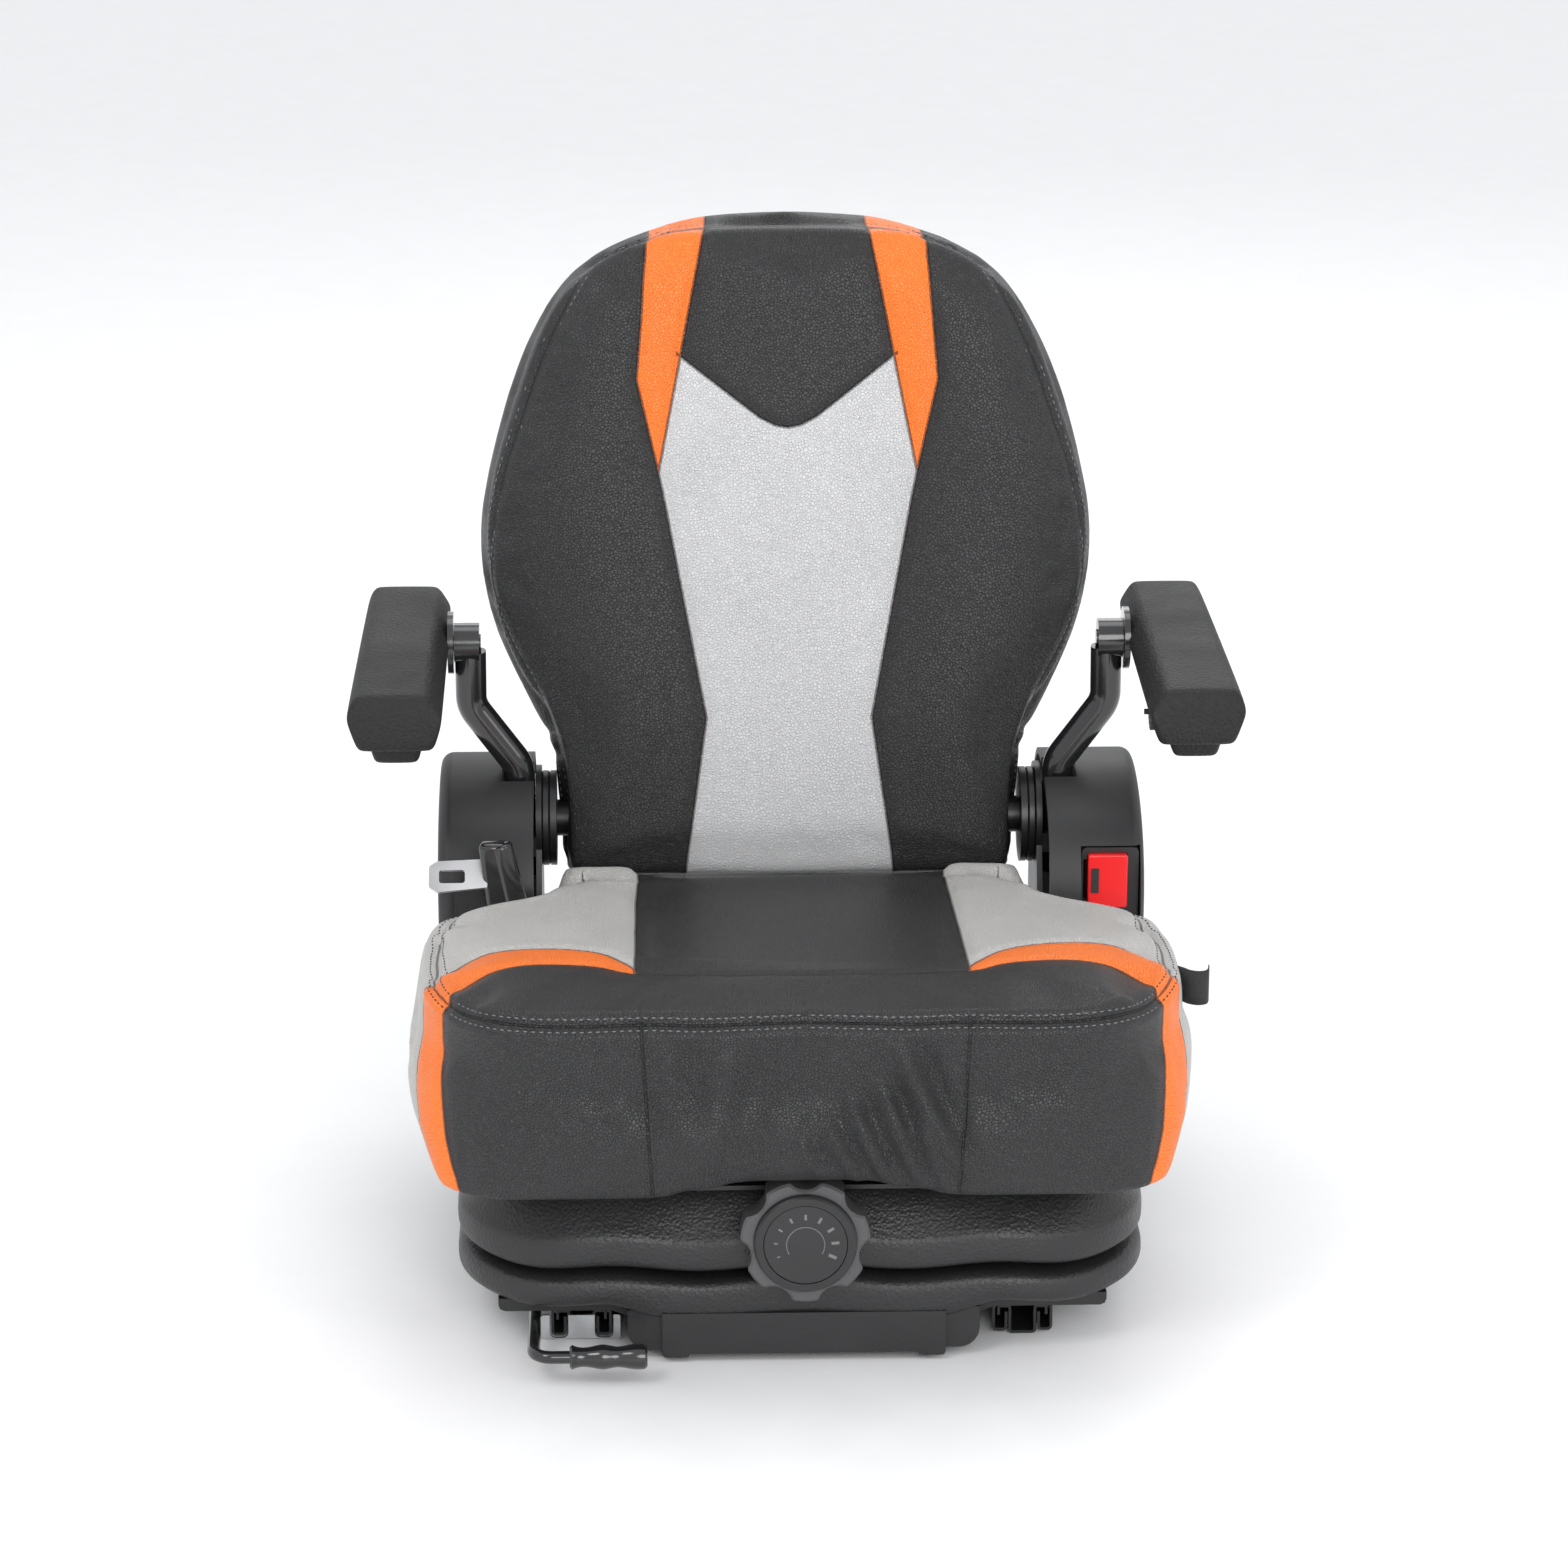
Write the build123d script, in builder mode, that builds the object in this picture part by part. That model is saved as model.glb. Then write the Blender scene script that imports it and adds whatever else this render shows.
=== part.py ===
from build123d import *
import math
import os

os.makedirs("parts", exist_ok=True)

# Tractor suspension seat, in millimetres.
# X is to the right of someone who faces the seat, Y is to the rear, Z is up.
# The origin is the centre of the floor bolt pattern, on the floor.

# Slide rails
rail_pitch = 296.0
rail_length = 330.0
rail_sheet = 1.8
rail_half_width = 20.25
rail_height = 27.0
rail_foot = 2.0
lower_half_web = 9.3
lower_height = 20.5
lower_lip_reach = 16.9
lower_lip_end = 13.5
upper_lip_reach = 10.0
upper_lip_end = 15.5
bolt_spacing = 220.0
bolt_hole = 9.0
glide_length = 36.0
glide_inset = 30.0
run_gap = 0.05
seat_gap = 0.3

# Base pan and undertray
pan_sheet = 2.5
base_overhang = 55.0
base_half_width = rail_pitch / 2 + base_overhang
base_half_depth = 181.0
pan_floor = 20.0
pan_floor_half = 108.0
pan_step = 20.0
pan_rim = 36.0
trough_half = 117.0
trough_face_half = 94.0
trough_bottom = 6.0
trough_top = 35.0
trough_front = -200.0
trough_rear = 120.0
trough_face_out = 7.0
trough_wall = 3.0

# Scissor suspension
frame_height = 118.0
frame_sheet = 3.0
frame_overhang = 4.0
frame_half_width = base_half_width + frame_overhang
frame_half_depth = base_half_depth + frame_overhang / 2
arm_length = 260.0
arm_width = 19.0
arm_sheet = 5.0
outer_arm_x = 126.0
inner_arm_x = 119.0
pin_low = 42.0
pin_high = 106.0
pin_radius = 5.0
open_pin_gap = 0.6
centre_pin_radius = 6.0
axle_radius = 4.0
brace_radius = 4.0
brace_along = 40.0
brace_drop = 8.0
roller_radius = 7.0
roller_width = 9.0
roller_gap = 0.5
track_front = -145.0
track_rear = -115.0
track_sheet = 2.5

# Springs, spindle and weight knob
spring_x = 45.0
spring_radius = 10.0
spring_pitch = 10.0
spring_turns = 12
spring_wire = 3.0
spindle_radius = 3.5
spindle_z = 95.5
spindle_rear = 110.0
bar_front = 78.0
bar_depth = 12.0
bar_half = 58.0
bar_height = 20.0
knob_front = -236.0
knob_rear = -210.0
knob_radius = 42.6
knob_lobes = 7
knob_ring_radius = 33.6
knob_step = 5.0
dial_radius = 27.7
dial_depth = 2.5

# Damper
damper_x = 85.0
damper_rear = 60.0
damper_low = 40.0
damper_front = -110.0
damper_high = 104.0
damper_radius = 11.0
damper_rod_radius = 4.0
damper_pin_radius = 4.0
damper_eye_radius = 9.0
damper_slack = 2.0

# Bellows
bellows_out = 24.0
bellows_wall = 3.0
bellows_corner = 62.0

# Seat pan and cushion
pan_half_width = 212.0
pan_front = -202.0
pan_rear = 214.0
seat_pan_sheet = 3.0
bead_height = 2.7
cushion_front = 248.0
cushion_half_width = 262.0
cushion_tuck = 139.5
cushion_tuck_half = 100.0
cushion_top_front = 262.0
cushion_top_rear = 237.0
centre_half = 108.0
centre_sink = 8.0
centre_front = -134.0

# Backrest
recline = 12.0
back_foot_y = 118.0
back_foot_z = 228.0
back_height = 468.5
back_foam = 72.0
back_front_wall = 34.0
back_rim = 15.0
shell_depth = 14.0
shell_wall = 3.0
pivot_y = 170.0
pivot_z = 257.0
back_sweep = 61.6

# Side brackets and recliners
bracket_x = 176.0
bracket_sheet = 4.0
bracket_front = 95.0
bracket_rear = 210.0
bracket_radius = 38.0
disc_radius = 34.0
disc_split = 170.2
disc_inner = 165.5
foot_sheet = 4.0
foot_reach = 34.0
foot_bolt = 4.0
foot_bolt_x = 200.0
foot_bolt_ys = (bracket_front + 18, bracket_rear - 18)
lever_pivot_y = 170.0
lever_pivot_z = 186.0
lever_shaft = 5.0

# Consoles
console_inner = 181.0
console_outer = 248.0
console_wall = 3.0
console_bottom = 130.5

# Arm tubes and armrests
tube_radius = 11.0
tube_foot_x = 191.4
tube_top_x = 224.5
tube_y = 150.0
tube_foot_z = 222.0
eye_z = 394.0
eye_radius = 14.0
hub_pin_radius = 6.0
pad_inner = 236.0
pad_width = 67.0
pad_front = -55.0
pad_rear = 230.0
pad_top = 415.0
pad_bottom = 375.0
pad_base_drop = 12.0

arm_angle = math.degrees(math.asin((pin_high - pin_low) / arm_length))
arm_reach = arm_length * math.cos(math.radians(arm_angle)) / 2
pin_mid = (pin_low + pin_high) / 2
lean = math.radians(recline)
back_plane = Plane(
    origin=(0, back_foot_y, back_foot_z), x_dir=(1, 0, 0), z_dir=(0, -math.cos(lean), math.sin(lean))
)
back_forward = Axis(back_plane.origin, back_plane.z_dir)


def save(piece, name):
    piece.part.label = name
    export_step(piece.part, "parts/" + name + ".step")


def across(y, x=0):
    """The XZ plane at this y, with its origin at x. Its normal points to the front."""
    return Plane(origin=(x, y, 0), x_dir=(1, 0, 0), z_dir=(0, -1, 0))


def beside(x, y=0, z=0):
    """The YZ plane at this x. Its normal points to the right."""
    return Plane(origin=(x, y, z), x_dir=(0, 1, 0), z_dir=(1, 0, 0))


def side_name(side):
    return "left" if side < 0 else "right"


# Slide rails
def make_lower_rail(x):
    half = rail_sheet / 2
    wall = lower_half_web - half
    lip = lower_lip_reach - half
    top = lower_height - half
    with BuildPart() as rail:
        with BuildSketch(across(rail_length / 2, x)):
            with BuildLine():
                FilletPolyline(
                    (-lip, lower_lip_end), (-lip, top), (-wall, top), (-wall, half),
                    (wall, half), (wall, top), (lip, top), (lip, lower_lip_end),
                    radius=1.6,
                )
            trace(line_width=rail_sheet)
        extrude(amount=rail_length)
        with Locations((x, -bolt_spacing / 2, rail_sheet), (x, bolt_spacing / 2, rail_sheet)):
            Hole(bolt_hole / 2, depth=2 * rail_sheet)
    return rail


def make_upper_rail(x):
    half = rail_sheet / 2
    wall = rail_half_width - half
    lip = upper_lip_reach + half
    foot = rail_foot + half
    top = rail_height - half
    with BuildPart() as rail:
        with BuildSketch(across(rail_length / 2, x)):
            with BuildLine():
                FilletPolyline(
                    (-lip, upper_lip_end), (-lip, foot), (-wall, foot), (-wall, top),
                    (wall, top), (wall, foot), (lip, foot), (lip, upper_lip_end),
                    radius=2.4,
                )
            trace(line_width=rail_sheet)
        extrude(amount=rail_length)
    return rail


for side in (-1, 1):
    rail_x = side * rail_pitch / 2
    lower_rail = make_lower_rail(rail_x)
    save(lower_rail, "lower_rail_" + side_name(side))
    upper_rail = make_upper_rail(rail_x)
    save(upper_rail, "upper_rail_" + side_name(side))

# Nylon glides, an angle in each top corner of the upper rails
glide_top = rail_height - rail_sheet
glide_out = rail_half_width - rail_sheet
glide_under = lower_height + run_gap
glide_inner = lower_lip_reach + run_gap
with BuildPart() as rail_glides:
    for side in (-1, 1):
        for end in (-1, 1):
            glide_y = end * (rail_length / 2 - glide_inset) + glide_length / 2
            with BuildSketch(across(glide_y, side * rail_pitch / 2)):
                for hand in (-1, 1):
                    with BuildLine():
                        Polyline(
                            (hand * lower_half_web, glide_under),
                            (hand * lower_half_web, glide_top),
                            (hand * (glide_out - 1.6), glide_top),
                            (hand * glide_out, glide_top - 1.6),
                            (hand * glide_out, lower_lip_end),
                            (hand * glide_inner, lower_lip_end),
                            (hand * glide_inner, glide_under),
                            close=True,
                        )
                    make_face()
            extrude(amount=glide_length)
save(rail_glides, "rail_glides")

# Front stop of the left lower rail, with notches that let the upper rail's lips pass
stop_sheet = 2.0
stop_left = 27.0
stop_right = 26.0
stop_notch_inner = upper_lip_reach - 1.2
stop_notch_outer = rail_half_width + 1.2
with BuildPart() as rail_stop:
    with BuildSketch(across(-rail_length / 2, -rail_pitch / 2)):
        with Locations(((stop_right - stop_left) / 2, 9)):
            RectangleRounded(stop_left + stop_right, 17, 1.5)
        for hand in (-1, 1):
            with Locations((hand * (stop_notch_inner + stop_notch_outer) / 2, 12)):
                RectangleRounded(stop_notch_outer - stop_notch_inner, 22, 4, mode=Mode.SUBTRACT)
    extrude(amount=stop_sheet)
save(rail_stop, "rail_stop")

# Slide lever, a bent rod that twists in two bearing blocks beside the left rail
lever_rod = 4.25
lever_beside = 10.75
lever_x = -(rail_pitch / 2 + rail_half_width + lever_beside)
lever_z = 19.5
lever_rear = 60.0
lever_front = -240.0
lever_grip_start = -155.0
lever_grip_end = -104.0
grip_radius = 8.2
lever_bend = 12.0
with BuildPart() as slide_lever:
    with BuildLine() as lever_path:
        FilletPolyline(
            (lever_x, lever_rear, lever_z), (lever_x, lever_front, lever_z),
            (lever_grip_end - 4, lever_front, lever_z),
            radius=lever_bend,
        )
    with BuildSketch(across(lever_rear, lever_x)):
        with Locations((0, lever_z)):
            Circle(lever_rod)
    sweep()
    with BuildSketch(Plane.XY.offset(lever_z - 1.5)):
        with Locations((lever_x + lever_rod + 1.5, 0)):
            Rectangle(9, 60)
    extrude(amount=3)
save(slide_lever, "slide_lever")

grip_length = lever_grip_end - lever_grip_start
grip_bore = lever_rod + run_gap
grip_plane = Plane(origin=(lever_grip_start, lever_front, lever_z), x_dir=(1, 0, 0), z_dir=(0, -1, 0))
with BuildPart() as lever_grip:
    with BuildSketch(grip_plane):
        with BuildLine():
            Line((0, grip_bore), (0, grip_radius - 1.5))
            Line((0, grip_radius - 1.5), (1.5, grip_radius))
            Spline(
                (1.5, grip_radius),
                (0.27 * grip_length, grip_radius - 1.3),
                (0.44 * grip_length, grip_radius),
                (0.6 * grip_length, grip_radius - 1.3),
                (0.78 * grip_length, grip_radius - 0.2),
                (grip_length - 1.5, grip_radius),
            )
            Line((grip_length - 1.5, grip_radius), (grip_length, grip_radius - 1.5))
            Line((grip_length, grip_radius - 1.5), (grip_length, 0))
            Line((grip_length, 0), (grip_length - 4, 0))
            Line((grip_length - 4, 0), (grip_length - 4, grip_bore))
            Line((grip_length - 4, grip_bore), (0, grip_bore))
        make_face()
    revolve(axis=Axis((0, lever_front, lever_z), (1, 0, 0)))
save(lever_grip, "lever_grip")

# Base pan: a pressed tray with a lowered floor, end walls, roller tracks and pivot brackets
half_pan = pan_sheet / 2
pan_top = rail_height + pan_sheet
track_low = pin_low - roller_radius - roller_gap
track_high = pin_low + roller_radius + roller_gap
lower_track_x = 104.0
lower_track_reach = 116.0
base_bracket_x = 130.0
base_bracket_sheet = 3.0
pan_side = base_half_width - half_pan
pan_flat = rail_height + half_pan
pan_low = pan_floor + half_pan
slope_out = pan_floor_half + pan_step
wall_side = base_half_width - 1
with BuildPart() as base_pan:
    with BuildSketch(across(base_half_depth)):
        with BuildLine():
            FilletPolyline(
                (-pan_side, pan_rim), (-pan_side, pan_flat),
                (-slope_out, pan_flat), (-pan_floor_half, pan_low),
                (pan_floor_half, pan_low), (slope_out, pan_flat),
                (pan_side, pan_flat), (pan_side, pan_rim),
                radius=4,
            )
        trace(line_width=pan_sheet)
    extrude(amount=2 * base_half_depth)
    for end in (-1, 1):
        with BuildSketch(across(end * (base_half_depth - half_pan) + half_pan)):
            with BuildLine():
                Polyline(
                    (-wall_side, pan_rim), (-wall_side, pan_flat),
                    (-slope_out, pan_flat), (-pan_floor_half, pan_low),
                    (pan_floor_half, pan_low), (slope_out, pan_flat),
                    (wall_side, pan_flat), (wall_side, pan_rim),
                    close=True,
                )
            make_face()
        extrude(amount=pan_sheet)
    for side in (-1, 1):
        with BuildSketch(across(track_rear)):
            with BuildLine():
                Polyline(
                    (side * lower_track_x, pan_low),
                    (side * lower_track_x, track_high + half_pan),
                    (side * lower_track_reach, track_high + half_pan),
                )
            trace(line_width=track_sheet)
            with BuildLine():
                Polyline(
                    (side * lower_track_x, track_low - half_pan),
                    (side * lower_track_reach, track_low - half_pan),
                )
            trace(line_width=track_sheet)
        extrude(amount=track_rear - track_front)
        with BuildSketch(beside(side * (base_bracket_x + base_bracket_sheet / 2) - base_bracket_sheet / 2)):
            with BuildLine():
                Polyline(
                    (arm_reach - 22, pan_top - 0.5), (arm_reach - 10, pin_low), (arm_reach + 10, pin_low),
                    (arm_reach + 22, pan_top - 0.5), close=True,
                )
            make_face()
            with Locations((arm_reach, pin_low)):
                Circle(10)
                Circle(pin_radius + run_gap, mode=Mode.SUBTRACT)
        extrude(amount=base_bracket_sheet)
        with BuildSketch(beside(damper_x + side * (damper_eye_radius - 1.5) - 1.5)):
            with Locations((damper_rear, (pan_floor + damper_low) / 2)):
                Rectangle(2 * damper_eye_radius, damper_low - pan_floor - 1)
            with Locations((damper_rear, damper_low)):
                Circle(damper_eye_radius)
                Circle(damper_pin_radius + run_gap, mode=Mode.SUBTRACT)
        extrude(amount=3)
    for y in (-95, lever_rear - 20):
        with BuildSketch(across(y + 5, lever_x)):
            with Locations((0, lever_z)):
                Circle(lever_rod + 3)
            with Locations((0, (lever_z + rail_height + 1) / 2)):
                Rectangle(2 * lever_rod + 6, rail_height + 1 - lever_z)
            with Locations((0, lever_z)):
                Circle(lever_rod + run_gap, mode=Mode.SUBTRACT)
        extrude(amount=10)
save(base_pan, "base_pan")

# Moulded undertray, a tub under the pan floor with a raised front face
with BuildPart() as base_trough:
    with BuildSketch(across(trough_rear)):
        with Locations((0, (trough_bottom + pan_floor) / 2)):
            Rectangle(2 * trough_half, pan_floor - trough_bottom)
        fillet(vertices().group_by(Axis.Y)[0], 12)
    extrude(amount=trough_rear + base_half_depth)
    offset(amount=-trough_wall, openings=faces().sort_by(Axis.Z)[-1])
    with BuildSketch(across(-base_half_depth)):
        with Locations((0, (trough_bottom + trough_top) / 2)):
            Rectangle(2 * trough_half, trough_top - trough_bottom)
        fillet(vertices().group_by(Axis.Y)[0], 14)
    extrude(amount=-base_half_depth - trough_front)
    with BuildSketch(across(trough_front)):
        with Locations((0, (trough_bottom + trough_top) / 2)):
            Rectangle(2 * trough_face_half, trough_top - trough_bottom)
        with Locations((-trough_face_half + 9, trough_bottom), (trough_face_half - 9, trough_bottom)):
            RectangleRounded(18, 5, 2.4)
    extrude(amount=trough_face_out)
save(base_trough, "base_trough")

# Scissor frames: two pairs of flat arms, welded to their cross shafts
def brace_place(tilt_sign, end_sign):
    """Centre of a brace, set below the arm's middle line, in Y and Z."""
    tilt = math.radians(arm_angle) * tilt_sign
    along = end_sign * (arm_length / 2 - brace_along)
    y = along * math.cos(tilt) + brace_drop * math.sin(tilt)
    z = pin_mid + along * math.sin(tilt) - brace_drop * math.cos(tilt)
    return y, z


brace_y, brace_z = brace_place(-1, 1)
with BuildPart() as scissor_outer:
    for side in (-1, 1):
        with BuildSketch(beside(side * outer_arm_x - arm_sheet / 2, 0, pin_mid)):
            SlotCenterToCenter(arm_length, arm_width, rotation=-arm_angle)
            with Locations((arm_reach, pin_low - pin_mid)):
                Circle(pin_radius + run_gap, mode=Mode.SUBTRACT)
            Circle(centre_pin_radius + run_gap, mode=Mode.SUBTRACT)
        extrude(amount=arm_sheet)
    with BuildSketch(beside(-outer_arm_x - 13.5, -arm_reach, pin_high)):
        Circle(axle_radius)
    extrude(amount=2 * outer_arm_x + 27)
    with BuildSketch(beside(-outer_arm_x, brace_y, brace_z)):
        Circle(brace_radius)
    extrude(amount=2 * outer_arm_x)
save(scissor_outer, "scissor_outer")

brace_y, brace_z = brace_place(1, -1)
with BuildPart() as scissor_inner:
    for side in (-1, 1):
        with BuildSketch(beside(side * inner_arm_x - arm_sheet / 2, 0, pin_mid)):
            SlotCenterToCenter(arm_length, arm_width, rotation=arm_angle)
            with Locations((arm_reach, pin_high - pin_mid)):
                Circle(pin_radius + open_pin_gap, mode=Mode.SUBTRACT)
            Circle(centre_pin_radius + run_gap, mode=Mode.SUBTRACT)
        extrude(amount=arm_sheet)
        with BuildSketch(beside(side * (inner_arm_x - 6.6) - 6.6, -arm_reach, pin_low)):
            Circle(axle_radius)
        extrude(amount=13.2)
    with BuildSketch(beside(-inner_arm_x, brace_y, brace_z)):
        Circle(brace_radius)
    extrude(amount=2 * inner_arm_x)
save(scissor_inner, "scissor_inner")

with BuildPart() as scissor_pins:
    for side in (-1, 1):
        with BuildSketch(beside(side * (outer_arm_x + inner_arm_x) / 2 - 7.5, 0, pin_mid)):
            Circle(centre_pin_radius)
        extrude(amount=15)
save(scissor_pins, "scissor_pins")

frame_bracket_x = 113.5
frame_bracket_sheet = 3.0
damper_pin_half = 11.0
pin_inner = outer_arm_x - arm_sheet / 2 - 1
pin_outer = base_bracket_x + base_bracket_sheet + 1.5
with BuildPart() as base_pins:
    for side in (-1, 1):
        with BuildSketch(beside(min(side * pin_inner, side * pin_outer), arm_reach, pin_low)):
            Circle(pin_radius)
        extrude(amount=pin_outer - pin_inner)
    with BuildSketch(beside(damper_x - damper_pin_half, damper_rear, damper_low)):
        Circle(damper_pin_radius)
    extrude(amount=2 * damper_pin_half)
save(base_pins, "base_pins")

pin_inner = frame_bracket_x - frame_bracket_sheet / 2 - 1
pin_outer = inner_arm_x + arm_sheet / 2 + 0.7
with BuildPart() as frame_pins:
    for side in (-1, 1):
        with BuildSketch(beside(min(side * pin_inner, side * pin_outer), arm_reach, pin_high)):
            Circle(pin_radius)
        extrude(amount=pin_outer - pin_inner)
    with BuildSketch(beside(damper_x - damper_pin_half, damper_front, damper_high)):
        Circle(damper_pin_radius)
    extrude(amount=2 * damper_pin_half)
save(frame_pins, "frame_pins")

upper_roller_x = 134.0
lower_roller_x = 111.0
with BuildPart() as rollers_upper:
    for side in (-1, 1):
        with BuildSketch(beside(side * upper_roller_x - roller_width / 2, -arm_reach, pin_high)):
            Circle(roller_radius)
            Circle(axle_radius + run_gap, mode=Mode.SUBTRACT)
        extrude(amount=roller_width)
save(rollers_upper, "rollers_upper")

with BuildPart() as rollers_lower:
    for side in (-1, 1):
        with BuildSketch(beside(side * lower_roller_x - roller_width / 2, -arm_reach, pin_low)):
            Circle(roller_radius)
            Circle(axle_radius + run_gap, mode=Mode.SUBTRACT)
        extrude(amount=roller_width)
save(rollers_lower, "rollers_lower")

# Tension springs from the front shaft back to the tension bar
spring_front = -arm_reach + axle_radius + seat_gap + spring_wire - 1
spring_length = spring_pitch * spring_turns
with BuildPart() as suspension_springs:
    for side in (-1, 1):
        with BuildSketch(beside(side * spring_x, spring_front, pin_high)):
            with BuildLine():
                ridge = [(0, 0), (0, spring_radius - spring_wire)]
                for turn in range(spring_turns):
                    ridge.append(((turn + 0.5) * spring_pitch, spring_radius))
                    ridge.append(((turn + 1) * spring_pitch, spring_radius - spring_wire))
                ridge.append((spring_length, 0))
                Polyline(*ridge, close=True)
            make_face()
        revolve(axis=Axis((side * spring_x, spring_front, pin_high), (0, 1, 0)))
        with BuildSketch(across(bar_front - seat_gap, side * spring_x)):
            with Locations((0, pin_high)):
                Circle(spring_wire / 2)
        extrude(amount=bar_front - seat_gap - spring_front - spring_length + 1)
        with BuildSketch(beside(side * spring_x - spring_wire / 2, -arm_reach, pin_high)):
            Circle(axle_radius + seat_gap + spring_wire)
            Circle(axle_radius + seat_gap, mode=Mode.SUBTRACT)
        extrude(amount=spring_wire)
save(suspension_springs, "suspension_springs")

with BuildPart() as tension_bar:
    with BuildSketch(across(bar_front + bar_depth)):
        with Locations((0, (pin_high + spindle_z) / 2)):
            RectangleRounded(2 * bar_half, bar_height, 4)
        with Locations((0, spindle_z)):
            Circle(spindle_radius + run_gap, mode=Mode.SUBTRACT)
    extrude(amount=bar_depth)
save(tension_bar, "tension_bar")

with BuildPart() as weight_spindle:
    with BuildSketch(across(spindle_rear)):
        with Locations((0, spindle_z)):
            Circle(spindle_radius)
    extrude(amount=spindle_rear - knob_rear + 12)
save(weight_spindle, "weight_spindle")

# Weight knob with seven lobes, and its dial
scallop_radius = 13.5
scallop_at = 50.0
with BuildPart() as weight_knob:
    with BuildSketch(across(knob_rear)):
        with Locations((0, spindle_z)):
            Circle(knob_radius)
            with PolarLocations(scallop_at, knob_lobes, start_angle=-90 + 180 / knob_lobes):
                Circle(scallop_radius, mode=Mode.SUBTRACT)
        fillet(vertices(), 3)
    extrude(amount=knob_rear - knob_front - knob_step)
    chamfer(faces().sort_by(Axis.Y)[0].edges(), 1.6)
    with BuildSketch(across(knob_front + knob_step)):
        with Locations((0, spindle_z)):
            Circle(knob_ring_radius)
    extrude(amount=knob_step)
    chamfer(faces().sort_by(Axis.Y)[0].edges(), 1.2)
    with BuildSketch(across(knob_front)):
        with Locations((0, spindle_z)):
            Circle(dial_radius + run_gap)
    extrude(amount=-dial_depth, mode=Mode.SUBTRACT)
    with BuildSketch(across(knob_rear)):
        with Locations((0, spindle_z)):
            Circle(spindle_radius + run_gap)
    extrude(amount=12, mode=Mode.SUBTRACT)
    with BuildSketch(across(knob_rear)):
        with Locations((0, spindle_z)):
            Circle(knob_ring_radius - 4)
            Circle(spindle_radius + 5, mode=Mode.SUBTRACT)
    extrude(amount=12, mode=Mode.SUBTRACT)
save(weight_knob, "weight_knob")

with BuildPart() as knob_dial:
    with BuildSketch(across(knob_front + dial_depth)):
        with Locations((0, spindle_z)):
            Circle(dial_radius)
    extrude(amount=dial_depth - 0.4)
    chamfer(faces().sort_by(Axis.Y)[0].edges(), 0.6)
save(knob_dial, "knob_dial")

# Damper between the base pan and the upper frame
damper_run = damper_rear - damper_front
damper_rise = damper_high - damper_low
damper_length = math.hypot(damper_run, damper_rise)
damper_tilt = math.degrees(math.atan2(damper_rise, damper_run))
damper_axis = Plane(
    origin=(damper_x, damper_rear, damper_low), x_dir=(1, 0, 0),
    z_dir=(0, -damper_run / damper_length, damper_rise / damper_length),
)
damper_tube_start = damper_eye_radius + 2
damper_neck = 5.5
damper_tube_end = 112.0
damper_bore_start = 84.0
with BuildPart() as damper_body:
    with BuildSketch(damper_axis.offset(damper_tube_start)):
        Circle(damper_radius)
    extrude(amount=damper_tube_end - damper_tube_start)
    with BuildSketch(damper_axis):
        Circle(damper_neck)
    extrude(amount=damper_tube_start + 1)
    with BuildSketch(damper_axis.offset(damper_bore_start)):
        Circle(damper_rod_radius + run_gap)
    extrude(amount=damper_tube_end, mode=Mode.SUBTRACT)
    with BuildSketch(beside(damper_x - 5.7, damper_rear, damper_low)):
        Circle(damper_eye_radius)
    extrude(amount=11.4)
    with BuildSketch(beside(damper_x - 5.7, damper_rear, damper_low)):
        Circle(damper_pin_radius + run_gap)
    extrude(amount=11.4, mode=Mode.SUBTRACT)
save(damper_body, "damper_body")

rod_start = 98.0
with BuildPart() as damper_rod:
    with BuildSketch(damper_axis.offset(rod_start)):
        Circle(damper_rod_radius)
    extrude(amount=damper_length - rod_start - damper_eye_radius + 2)
    with BuildSketch(beside(damper_x - 5.7, damper_front, damper_high)):
        Circle(damper_eye_radius)
    extrude(amount=11.4)
    with BuildSketch(beside(damper_x - 5.7, damper_front, damper_high)):
        Circle(damper_pin_radius + damper_slack)
    extrude(amount=11.4, mode=Mode.SUBTRACT)
save(damper_rod, "damper_rod")

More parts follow.
